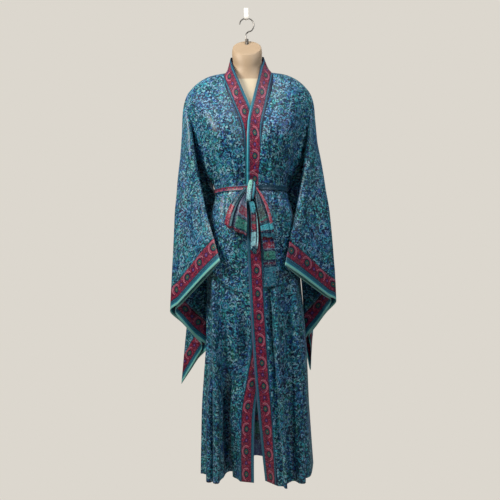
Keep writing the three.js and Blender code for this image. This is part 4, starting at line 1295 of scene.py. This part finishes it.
@dataclass
class Sleeve:
    """One wide sleeve, pressed into two layers and folded in three, with its border band.

    Attributes:
        hand: right or left, as the wearer has it.
        table: Its fold lines, with its folds in creases.
        print_start: Where on the printed length it was cut.
        body: The robe's body, which gives the armhole.
        cloth: Thickness of its shell, with that of its band in band_cloth.
        rows: Mesh rows for each row of the solids, with columns the same for their columns.
        shares: How far down it each coarse ring is, with its band's in band_shares.
        spacing: Shares of the way down, and half the distance between the two layers at each.
        turn_share: Where the armhole's ring has become the folded one, having rolled out by roll on the way.
        sink: The most that a crease may sink in.
        band_width: The width of the band.
    """

    hand: str
    table: Sequence[FoldStation]
    creases: Sequence[Crease]
    print_start: float
    body: RobeBody
    cloth: float = 0.9
    band_cloth: float = 1.2
    rows: int = 5
    columns: int = 8
    shares: tuple[float, ...] = (0, 0.05, 0.12, 0.2, 0.3, 0.41, 0.53, 0.65, 0.75, 0.845)
    band_shares: tuple[float, ...] = (0.845, 0.92, 1)
    spacing: tuple[tuple[float, ...], tuple[float, ...]] = ((0.12, 0.3, 0.6, 1.0), (13.0, 11.0, 9.0, 9.0))
    turn_share: float = 0.12
    roll: float = 7.0
    sink: float = 4.0
    band_width: float = 62.0

    def fold_line(self, name: str, share: float) -> np.ndarray:
        """Returns the place of a fold line at a share of the way down."""
        at = np.interp(share, [row.share for row in self.table], np.arange(len(self.table)))
        return through(np.array([getattr(row, name) for row in self.table], dtype=float), np.array([at]))[0]

    def centre(self, share: float, count: int) -> np.ndarray:
        """Finds the line between the two layers.

        Args:
            share: How far down it is.
            count: The spans along it.

        Returns:
            Its points.
        """
        at = (0, count // 2, 3 * count // 4, count)
        folds = np.array([self.fold_line(name, share) for name in ("top", "outer", "inner", "bottom")])
        return np.stack([np.interp(np.arange(count + 1), at, fold) for fold in folds.T], axis=1)

    def folded(self, share: float, count: int, outward: float) -> np.ndarray:
        """Finds the ring of the pressed and folded sleeve.

        Args:
            share: How far down it is.
            count: The spans along each layer.
            outward: The side of the body, as a sign.

        Returns:
            Its points.
        """
        line = self.centre(share, count)
        step = 0.01
        before, after = max(self.turn_share, share - step), min(1.0, share + step)
        along = self.centre(after, count) - self.centre(before, count)
        padded = np.concatenate([line[:1], line, line[-1:]])
        k = np.arange(count + 1)
        closing = np.minimum(1.0, np.sqrt(np.minimum(k, count - k) / 2))
        half = outward * np.interp(share, *self.spacing) * closing
        offset = unit(np.cross(padded[2:] - padded[:-2], along)) * half[:, None]
        return np.concatenate([line + offset, (line - offset)[-2:0:-1]])

    def coarse(self, shares: Sequence[float]) -> np.ndarray:
        """Lofts the sleeve, which leaves the armhole open and is soon folded.

        Args:
            shares: How far down each ring is.

        Returns:
            The coarse rings.
        """
        count = ARMHOLE_ROWS * STEPS_PER_ROW
        front, edge = (self.body.right, 0) if self.hand == "right" else (self.body.left, -1)
        fore, aft = front[:count + 1, -1], self.body.back[:count + 1, edge]
        outward = float(np.sign(fore[0, 0]))
        arm = np.concatenate([fore, aft[-2:0:-1]])
        free = self.folded(self.turn_share, count, outward)
        rings = []
        for share in shares:
            if share >= self.turn_share:
                rings.append(self.folded(share, count, outward))
                continue
            f = share / self.turn_share
            rolled = np.array([outward * self.roll * math.sin(math.pi * f), 0.0, 0.0])
            rings.append(arm + (free - arm) * f + rolled)
        return np.array(rings)

    def hanging_lengths(self, fine: np.ndarray) -> Lengths:
        """Measures the hanging sleeve for its print.

        Args:
            fine: The sleeve's rings, which run aslant to the threads.

        Returns:
            The level distance from its outer fold and its fall, with a closing column.
        """
        closed = ring_closed(fine)
        level = summed(distances(closed[..., :2], 1))
        fold = fine.shape[1] // 4
        moved = np.abs(fine[:, fold, 0]) - abs(fine[0, fold, 0])
        return level - level[:, fold:fold + 1] + moved[:, None] + self.print_start, -closed[..., 2]

    def hem_lengths(self, band: np.ndarray) -> Lengths:
        """Measures the cuff's band for its print.

        Args:
            band: The band's rings, the last of which is the hem.

        Returns:
            The distance in from the hem and the place along it, with a closing column.
        """
        hem = band[-1]
        after = np.roll(hem, -1, axis=0)
        tangent = unit(after - np.roll(hem, 1, axis=0))
        place = np.concatenate([[0.0], np.linalg.norm(after - hem, axis=1).cumsum()])
        aslant = ring_closed(((band - hem) * tangent).sum(axis=-1))
        inward = np.repeat(np.linspace(self.band_width, 0, len(band))[:, None], len(place), axis=1)
        return inward, place[None, :] + aslant

    def build(self, finishes: dict[str, Material]) -> list[Piece]:
        """Builds the sleeve and its band.

        Args:
            finishes: The finishes by name.

        Returns:
            The two pieces.
        """
        sleeve, band = (Cloth(f"{part}_{self.hand}", self.coarse(shares), self.hand == "left", ring=True)
                        for part, shares in (("sleeve", self.shares), ("cuff_band", self.band_shares)))
        for cloth in (sleeve, band):
            cloth.refine(self.rows, self.columns)
        sleeve.fold(self.creases, ("top", "foot"), self.sink)
        sleeve.draw_back(("top", "foot"))
        band.draw_back(("top",))
        return [sleeve.piece(self.cloth, finishes["ground"], Cut(1.21, 0.64, 0.32, "folded"),
                             self.hanging_lengths(sleeve.grid), "patterned_satin"),
                band.piece(self.band_cloth, finishes["cuff"], Cut(1.21, 0.062, 0.065, "folded"),
                           self.hem_lengths(band.grid))]


# ---- the sash ------------------------------------------------------------------------------------
@dataclass(frozen=True)
class BowLeaf:
    """A leaf of the bow or a tail of the sash: a ribbon through its rows, pleated where it leaves the knot.

    Attributes:
        size: The flat cut's width and length in metres, and its area.
        pleats: Each pleat's place across and half width, as shares of the width, and its height.
        curl: The length that turns up at a tail's end, in turn_steps rows, with rise_steps more above it,
            each further by rise.
        from_right: Whether the print is counted from the other edge.
        cloth: Thickness of its shell.
        mesh_rows: Mesh rows for each row of the solids, with mesh_columns the same for their columns.
    """

    node: str
    rows: Sequence[RibbonRow]
    finish: EndPiecePrint
    size: Point
    pleats: tuple[tuple[float, float, float], ...]
    curl: float = 0.0
    from_right: bool = False
    cloth: float = 1.0
    turn_steps: int = 14
    rise_steps: int = 4
    rise: Point = (-0.8, -0.5, 4.5)
    mesh_rows: int = 6
    mesh_columns: int = 14

    def build(self) -> Piece:
        """Builds the leaf.

        Returns:
            The piece.
        """
        control = np.array([[(x, row.y, z) for x, z in (row.left, row.right)] for row in self.rows])
        cloth = Cloth(self.node, grid_through(control, STEPS_PER_ROW, steps(1, STEPS_PER_COLUMN)))
        cloth.refine(self.mesh_rows, self.mesh_columns)
        rows, columns = cloth.grid.shape[:2]
        across, down = np.linspace(0, 1, columns)[None, :], np.linspace(0, 1, rows)[:, None]
        gathered, at_end, sway = 0.04, 0.35, 0.03
        fade = np.clip(down / gathered, 0, 1) * (at_end + (1 - at_end) * np.cos(math.pi / 2 * down))
        lift = np.zeros((rows, columns))
        for place, width, height in self.pleats:
            middle = place + sway * np.sin(4 * down + 9 * place)
            lift += height * fade * np.exp(-((across - middle) / width) ** 2)
        cloth.lift(lift)
        if self.curl:
            cloth.grid = np.concatenate([cloth.grid, self.turned_up(cloth.grid[-1])])
        across, down = cloth.lengths()
        if self.from_right:
            across = across[:, -1:] - across
        cut = Cut(*self.size, "gathered", ("knot_cloth",))
        return cloth.piece(self.cloth, self.finish.material(), cut, (across, down))

    def turned_up(self, foot: np.ndarray) -> np.ndarray:
        """Curls a tail's end to the front and up.

        Args:
            foot: The row that it leaves.

        Returns:
            Its rows.
        """
        radius = self.curl / math.pi
        slant = np.linspace(0.7, 1.15, len(foot))
        rows = []
        for angle in math.pi * np.arange(1, self.turn_steps + 1) / self.turn_steps:
            drop = radius * math.sin(angle) * slant
            forward = np.full(len(foot), radius * (1 - math.cos(angle)))
            rows.append(foot - np.stack([0 * drop, forward, drop], axis=-1))
        rise = np.array(self.rise)
        return np.array([*rows, *(rows[-1] + rise * i for i in range(1, self.rise_steps + 1))])


@dataclass
class Sash:
    """The narrow belt, the wrapped knot and the leaves of the bow.

    Attributes:
        body: The robe's body, which the belt is stretched round.
        levels: The levels of the belt's rings, with the sides of each in sides.
        thick: The belt's thickness in the solids, with what stays free under it in clear.
        bands_out: How far a front band stands out from its middle surface.
        knot_centre: The middle of the knot, with its half sizes in knot_half and its lean in knot_lean.
        grooves: The knot's grooves: each one's place across it, half width and depth, as shares.
        finer: Mesh rows and columns of the belt for each of its solid's.
        belt_cloth: Thickness of the belt's shell, with the knot's in knot_cloth.
    """

    body: RobeBody
    levels: tuple[float, ...] = (-622.0, -630.0, -638.0)
    sides: int = 36
    thick: float = 2.0
    clear: float = 0.9
    bands_out: float = 0.6
    knot_centre: Point = (1.0, -127.3, -641.0)
    knot_half: Point = (14.0, 10.0, 35.0)
    knot_lean: float = 0.2
    grooves: tuple[Point, ...] = ((0.28, 0.13, 0.36), (-0.45, 0.12, 0.10))
    finer: int = 4
    belt_cloth: float = 1.4
    knot_cloth: float = 1.0

    def belt(self, finish: Material) -> Piece:
        """Builds the belt, stretched round the outermost points of the body at each level.

        Args:
            finish: Its finish.

        Returns:
            The piece.
        """
        bands = [grid_through(np.array([[row.edge, row.seam] for row in rows], dtype=float), STEPS_PER_ROW,
                              np.array([0.0, 0.5])) for rows in (FRONT_RIGHT, FRONT_LEFT)]
        out = self.bands_out + self.clear + self.thick / 2
        angles = 2 * math.pi * np.arange(self.sides + 1) / self.sides
        facing = np.stack([np.sin(angles), np.cos(angles)], axis=1)
        turn = facing[:-1, 0] * facing[1:, 1] - facing[:-1, 1] * facing[1:, 0]
        rings = []
        for level in self.levels:
            points = []
            for grid in (self.body.right, self.body.left, self.body.back, *bands):
                above, below = grid[:-1], grid[1:]
                f = (above[..., 2] - level) / (above[..., 2] - below[..., 2])
                points.append((above + (below - above) * f[..., None])[(f >= 0) & (f < 1)])
            reach = out + (np.concatenate(points)[:, :2] @ facing.T).max(axis=0)
            x = (reach[:-1] * facing[1:, 1] - reach[1:] * facing[:-1, 1]) / turn
            y = (reach[1:] * facing[:-1, 0] - reach[:-1] * facing[1:, 0]) / turn
            rings.append(np.stack([x, y, np.full(self.sides, level)], axis=1))
        cloth = Cloth("belt_waist", np.array(rings), ring=True, name="belt_cloth")
        cloth.refine(self.finer, self.finer)
        cut = Cut(0.017, 0.71, 0.012, "gathered", ("back_cloth",))
        return cloth.piece(self.belt_cloth, finish, cut, cloth.lengths()[::-1])

    def knot(self, finish: Material) -> Piece:
        """Builds the knot: a strip wrapped round the crossing of the sash, with grooves down its front.

        Args:
            finish: Its finish.

        Returns:
            The piece.
        """
        around, across = 64, 29
        squareness, roundness, slant, waist = 2.6, 0.8, 4.5, 0.34
        pinched_top, low_side, tilt, ends = 0.22, 0.9, 0.06, 0.72
        a = 2 * np.pi * np.arange(around)[None, :] / around
        u = np.linspace(-1, 1, across)[:, None]
        half_x, half_y, half_z = self.knot_half
        edge = np.sqrt(np.clip(1 - np.abs(u) ** squareness, 0, 1))
        groove = sum(depth * np.exp(-((u - place) / width) ** 2) for place, width, depth in self.grooves)
        radius = waist + (1 - waist) * edge - groove * np.clip(np.cos(a), 0, 1)
        taper = 1 - pinched_top * np.clip(np.sin(a), 0, 1) ** 2
        shorter = np.where(u > self.grooves[0][0], low_side, 1.0) - tilt * u
        x = half_x * u * taper + slant * np.sin(a)
        y = -half_y * np.sign(np.cos(a)) * np.abs(np.cos(a)) ** roundness * radius
        z = half_z * np.sin(a) * (ends + (1 - ends) * edge) * shorter
        lean, upright = math.sin(self.knot_lean), math.cos(self.knot_lean)
        grid = np.stack([x, y * upright + z * lean, z * upright - y * lean], axis=-1) + self.knot_centre
        cloth = Cloth("belt_knot", grid, ring=True, name="knot_cloth")
        cloth.flip = float(((grid - grid.mean(axis=(0, 1))) * cloth.normals()).sum()) < 0
        round_it = cloth.lengths()[0]
        over = np.repeat(np.linspace(0, 2 * half_x + 2, across)[:, None], round_it.shape[1], axis=1)
        cut = Cut(0.030, 0.16, 0.0047, "gathered", ("belt_cloth",))
        return cloth.piece(self.knot_cloth, finish, cut, (over, round_it))

    def build(self, finishes: dict[str, Material]) -> list[Piece]:
        """Builds the sash's pieces in the finishes of those names, and returns them."""
        return [self.belt(finishes["belt"]), self.knot(KNOT_PRINT_AND_GROOVE_SHADE.material()),
                *(leaf.build() for leaf in BOW_LEAVES)]


# The navy strip from 17 to 22.5 mm across lies in the knot's deeper groove and is painted shade.
KNOT_PRINT_AND_GROOVE_SHADE = EndPiecePrint("knot_strip_print", 180, ((0, MINT), (60, PALE_TEAL)), (
    (-1, 3, 0, 180, PURPLE_GREY), (17, 22.5, 0, 180, NAVY), (22.5, 27, 0, 180, TURQUOISE),
    (27, 60, 0, 180, TEAL)))
# The pale strip from 19 to 26 mm across runs along the first pleat's ridge. The navy strip from 26 to 34 mm
# lies in the slot beside it and is painted shadow.
RIGHT_LOOP_PRINT_AND_SLOT_SHADE = EndPiecePrint("bow_right_print", 260, (
    (0, TEAL), (36, PURPLE_GREY), (54, CRIMSON), (84, PURPLE_GREY), (90, NAVY), (95, LEAF_GREEN), (128, NAVY),
    (134, CRIMSON), (150, NAVY)), (
    (-1, 19, 0, 74, DEEP_TEAL), (-1, 15, 74, 136, SCARLET), (15, 19, 74, 136, DARK_RED),
    (19, 26, 10, 136, PALE_TEAL), (26, 34, 10, 136, NAVY), (34, 44, 10, 132, PURPLE_GREY)))
LEFT_LOOP_PRINT = EndPiecePrint("bow_left_print", 330, (
    (0, DEEP_TEAL), (60, DARK_LEAF), (96, LEAF_GREEN), (104, DARK_RED), (110, DEEP_TEAL), (120, TURQUOISE),
    (140, NAVY), (150, TEAL)), (
    (-1, 8, 4, 124, SCARLET), (8, 11, 10, 124, ROSE), (11, 16, 12, 112, NAVY), (20, 24, 30, 100, NAVY)))
SHORT_TAIL_PRINT = EndPiecePrint("short_tail_print", 190, (
    (0, TURQUOISE), (38, NAVY), (44, CRIMSON), (66, DARK_LEAF), (74, SCARLET), (92, DARK_RED),
    (100, PALE_TEAL), (150, DEEP_TEAL)), (
    (-1, 2.5, 0, 190, TEAL), (17, 21, 26, 190, NAVY), (21, 28, 26, 190, PALE_TEAL)))
LONG_TAIL_PRINT = EndPiecePrint("long_tail_print", 300, (
    (0, DEEP_TEAL), (120, NAVY), (126, CRIMSON), (142, VIOLET), (150, CRIMSON), (170, PURPLE_GREY),
    (174, NAVY), (180, LEAF_GREEN), (206, NAVY), (214, DARK_RED), (222, NAVY), (230, TEAL)), (
    (-1, 3.5, 0, 300, NAVY), (20, 26, 126, 170, SCARLET), (12, 20, 184, 200, DARK_LEAF)))
BOW_LEAVES = table(BowLeaf, (
    ("bow_loop_right", BOW_LOOP_RIGHT, RIGHT_LOOP_PRINT_AND_SLOT_SHADE, (0.087, 0.28, 0.0171),
     ((0.27, 0.08, 6.0), (0.4, 0.06, -7.5), (0.56, 0.09, 3.0), (0.84, 0.08, -2.4))),
    ("bow_loop_left", BOW_LOOP_LEFT, LEFT_LOOP_PRINT, (0.050, 0.325, 0.0131),
     ((0.3, 0.1, -4.2), (0.66, 0.07, -6.0), (0.84, 0.07, 2.6)), 0.0, True),
    ("belt_tail_short", BELT_TAIL_SHORT, SHORT_TAIL_PRINT, (0.026, 0.206, 0.0044),
     ((0.45, 0.16, -2.4), (0.74, 0.1, -2.0)), 26.0),
    ("belt_tail_long", BELT_TAIL_LONG, LONG_TAIL_PRINT, (0.041, 0.29, 0.0106),
     ((0.35, 0.12, -3.2), (0.7, 0.12, 3.0))),
))


# ---- the form and its hook -----------------------------------------------------------------------
@dataclass
class TorsoForm:
    """The smooth limbless form: a loft through its rings, drawn out ring by ring from a circle.

    rim_crease says how sharp the rim of the neck's cap stays; the insets of the two end faces are in metres.
    """

    around: int = 32
    smoothing: int = 2
    rim_crease: float = 0.75
    cap_inset: float = 0.012
    foot_inset: float = 0.03

    def ring(self, shape: FormRing) -> np.ndarray:
        """Places a ring where it hangs.

        Args:
            shape: The ring.

        Returns:
            Its points.
        """
        points = []
        for a in 2 * math.pi * np.arange(self.around) / self.around:
            fore = math.cos(a)
            reach, level = (shape.front, shape.breast_z) if fore > 0 else (shape.back, shape.back_z)
            points.append((shape.half * math.sin(a), shape.middle + (reach - shape.middle) * abs(fore),
                           shape.side + (level - shape.side) * abs(fore) ** shape.bow))
        return hung(points)

    def loft(self, thing: Thing, rings: Sequence[np.ndarray]) -> None:
        """Draws a circle out through the rings, in edit mode from the foot up.

        Args:
            thing: The circle.
            rings: The points of each ring.
        """
        for number, ring in enumerate(rings):
            if number:
                bpy.ops.mesh.extrude_region_move()
            mesh = bmesh.from_edit_mesh(thing.data)
            for index, vertex in enumerate([v for v in mesh.verts if v.select]):
                if number:
                    away = ((rings[number - 1] - np.array(vertex.co) / MM) ** 2).sum(axis=1)
                    index = int(np.argmin(away))
                vertex.co = ring[index] * MM
            bmesh.update_edit_mesh(thing.data)
            if not number:
                bpy.ops.mesh.select_all(action="SELECT")

    def close(self, inset: float) -> None:
        """Closes the selected open edges with faces round a middle point.

        Args:
            inset: How far in those faces' own edge is.
        """
        bpy.ops.mesh.edge_face_add()
        bpy.ops.mesh.inset(thickness=inset)
        bpy.ops.mesh.poke()

    def build(self, material: Material) -> Piece:
        """Builds the form from its foot up to the tilted neck cap.

        Args:
            material: Its finish.

        Returns:
            The piece.
        """
        rings = [self.ring(shape) for shape in (*reversed(FORM_RINGS), *NECK_RINGS[1:])]
        bpy.ops.object.select_all(action="DESELECT")
        bpy.ops.mesh.primitive_circle_add(vertices=self.around, radius=0.1, fill_type="NOTHING")
        thing = bpy.context.object
        thing.name = "torso_form"
        bpy.ops.object.mode_set(mode="EDIT")
        self.loft(thing, rings)
        self.close(self.cap_inset)
        bpy.ops.mesh.select_all(action="DESELECT")
        mesh = bmesh.from_edit_mesh(thing.data)
        sharp = mesh.edges.layers.float.get("crease_edge") or mesh.edges.layers.float.new("crease_edge")
        rim = {tuple(place) for place in np.round(rings[-2], 2)}
        for edge in mesh.edges:
            if all(tuple(np.round(np.array(vertex.co) / MM, 2)) in rim for vertex in edge.verts):
                edge[sharp] = self.rim_crease
            edge.select = edge.is_boundary
        bmesh.update_edit_mesh(thing.data)
        self.close(self.foot_inset)
        bpy.ops.mesh.select_all(action="SELECT")
        bpy.ops.mesh.normals_make_consistent(inside=False)
        bpy.ops.object.mode_set(mode="OBJECT")
        apply_modifier(thing, "SUBSURF", levels=self.smoothing, render_levels=self.smoothing)
        bpy.ops.object.shade_smooth()
        dress(thing, material)
        return Piece(thing, ("form_torso", "form_neck"), "form_plastic")


@dataclass
class HangingHook:
    """The drawn steel hook, bent from wire: an eye from its tip to its neck, and a stem below it."""

    wire: float = 4.5
    radius: float = 24.5
    centre: Plan = (1.0, -62.6)
    tip_angle: float = math.pi * 0.95
    neck_angle: float = -math.pi * 0.3
    stem: tuple[Plan, ...] = ((6.0, -85.5), (-1.0, -92.0), (-2.0, -99.0), (-2.0, -110.7))
    stem_y: float = 8.0
    eye_steps: int = 16
    line_steps: int = 96
    roundness: int = 5

    def build(self, material: Material) -> Piece:
        """Builds the hook as a bevelled curve, turned to a mesh.

        Args:
            material: Its finish.

        Returns:
            The piece.
        """
        eye = [(self.radius * math.cos(a) + self.centre[0], self.radius * math.sin(a) + self.centre[1])
               for a in np.linspace(self.tip_angle, self.neck_angle, self.eye_steps + 1)]
        line = np.array([(x, self.stem_y, z) for x, z in (*eye, *self.stem)])
        line = through(line, np.linspace(0, len(line) - 1, self.line_steps))
        curve = bpy.data.curves.new("steel_hook", "CURVE")
        curve.dimensions = "3D"
        curve.bevel_depth = self.wire / 2 * MM
        curve.bevel_resolution = self.roundness
        curve.use_fill_caps = True
        spline = curve.splines.new("POLY")
        spline.points.add(len(line) - 1)
        for point, place in zip(spline.points, hung(line) * MM):
            point.co = (*place, 1.0)
        select_only(new_thing("steel_hook", curve))
        bpy.ops.object.convert(target="MESH")
        thing = bpy.context.object
        bpy.ops.object.shade_smooth()
        dress(thing, material)
        return Piece(thing, ("form_hook",), "steel")


# ---- the studio ----------------------------------------------------------------------------------
@dataclass(frozen=True)
class SoftLight:
    """A square soft box."""

    name: str
    place: Point
    aim: Point
    size: float
    watts: float
    colour: str = "ffffff"

    def build(self) -> None:
        """Adds the light and turns it to its aim."""
        data = bpy.data.lights.new(self.name, "AREA")
        data.size = self.size
        data.energy = self.watts
        data.color = linear(self.colour)[:3]
        lamp = new_thing(self.name, data)
        lamp.location = [v * MM for v in self.place]
        toward = Vector([(a - b) * MM for a, b in zip(self.aim, self.place)])
        lamp.rotation_euler = toward.to_track_quat("-Z", "Y").to_euler()


@dataclass
class Studio:
    """A plain pale floor and world, soft lights and the camera.

    Attributes:
        distance: From the hanging axis to the camera.
        eye: The camera's place across and its level.
        roll: Its turn about its own axis.
        floor_level: The level of the floor, with its middle and size in metres in floor_place and floor_size.
        pale: The colour of the floor and the world, which lights the object with strength.
    """

    distance: float = 1950.0
    eye: Plan = (-6.5, -830.0)
    lens: float = 41.29
    sensor: float = 36.0
    roll: float = 0.0244
    floor_level: float = -2100.0
    floor_place: Plan = (0.0, -0.55)
    floor_size: Plan = (3.2, 1.8)
    pale: str = "dcd7ce"
    strength: float = 0.17
    lights: tuple[SoftLight, ...] = (
        SoftLight("key_light", (-1250, -1000, 300), (-20, 0, -500), 0.7, 36.0, "fff8ef"),
        SoftLight("fill_light", (1400, -1500, 500), (40, 0, -400), 1.2, 17.0, "f2f6ff"),
        SoftLight("top_light", (200, -600, 1000), (0, 0, -400), 1.0, 12.0),
        SoftLight("back_light", (600, 2300, 200), (0, 0, -800), 2.0, 26.0),
    )

    def world(self) -> None:
        """Builds a world that is seen paler than it lights the object."""
        world = bpy.data.worlds.new("pale_studio")
        bpy.context.scene.world = world
        world.use_nodes = True
        world.node_tree.nodes.clear()
        add = partial(add_node, world.node_tree)
        dim, glow = (add("Background", self.pale, strength) for strength in (self.strength, 1.0))
        seen = add("MixShader", add("LightPath").outputs["Is Camera Ray"], dim, glow)
        add("OutputWorld", seen)

    def floor(self) -> None:
        """Builds the floor, in matt paint."""
        bpy.ops.object.select_all(action="DESELECT")
        bpy.ops.mesh.primitive_plane_add(size=1.0, location=(*self.floor_place, self.floor_level * MM))
        floor = bpy.context.object
        floor.name = "studio_floor"
        floor.scale = (*self.floor_size, 1.0)
        bpy.ops.object.transform_apply(location=False, rotation=False, scale=True)
        material, add = new_material("studio_floor_paint")
        add("OutputMaterial", add("BsdfPrincipled", Base_Color=self.pale, Roughness=0.9))
        dress(floor, material)

    def build(self) -> None:
        """Builds the studio."""
        self.world()
        self.floor()
        for light in self.lights:
            light.build()
        camera = new_thing("camera", bpy.data.cameras.new("camera"))
        camera.data.lens = self.lens
        camera.data.sensor_width = self.sensor
        camera.location = (self.eye[0] * MM, (HANG_Y - self.distance) * MM, self.eye[1] * MM)
        camera.rotation_euler = (math.pi / 2, self.roll, 0.0)
        bpy.context.scene.camera = camera
        bpy.context.scene.view_settings.view_transform = "Standard"


def main() -> None:
    """Builds the robe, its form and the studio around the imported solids."""
    logging.basicConfig(level=logging.INFO, format="%(name)s %(message)s")
    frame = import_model()
    Studio().build()
    finishes = {
        "ground": GroundPrint().material(),
        "back": GroundPrint("printed_satin_back", end_piece=True).material(),
        "border": BorderPrint("front_border_print", 50.0, FRONT_STRIPES, 26.0, 15.8, edge=4.2).material(),
        "cuff": BorderPrint("cuff_border_print", 62.0, CUFF_STRIPES, 44.2, 17.8, curl=14.0).material(),
        "belt": BorderPrint("belt_border_print", 16.0, BELT_STRIPES, 8.0, 5.8, curl=5.0, repeat=30.0,
                            line=0.5, turned_from=26.0).material(),
    }
    body = RobeBody()
    pieces = [
        *body.build(finishes),
        *Sleeve("right", SLEEVE_RIGHT, RIGHT_SLEEVE_CREASES, 1700.0, body).build(finishes),
        *Sleeve("left", SLEEVE_LEFT, LEFT_SLEEVE_CREASES, 2900.0, body).build(finishes),
        *Sash(body).build(finishes),
        TorsoForm().build(MouldedForm().material()),
        HangingHook().build(HardFinish("drawn_steel_wire", "8f8c87", 0.34, 1.0, mark=0.03).material()),
    ]
    for piece in pieces:
        piece.declare()
    for node, finish in (("hook_ferrule", HardFinish("dark_ferrule_steel", "5c5751", 0.42, 0.8)),
                         ("rail_hook", HardFinish("white_gloss_paint", "eceae3", 0.3))):
        dress(frame["nodes"][node], finish.material())
        LOG.info("%s: dressed", node)


if __name__ == "__main__":
    main()
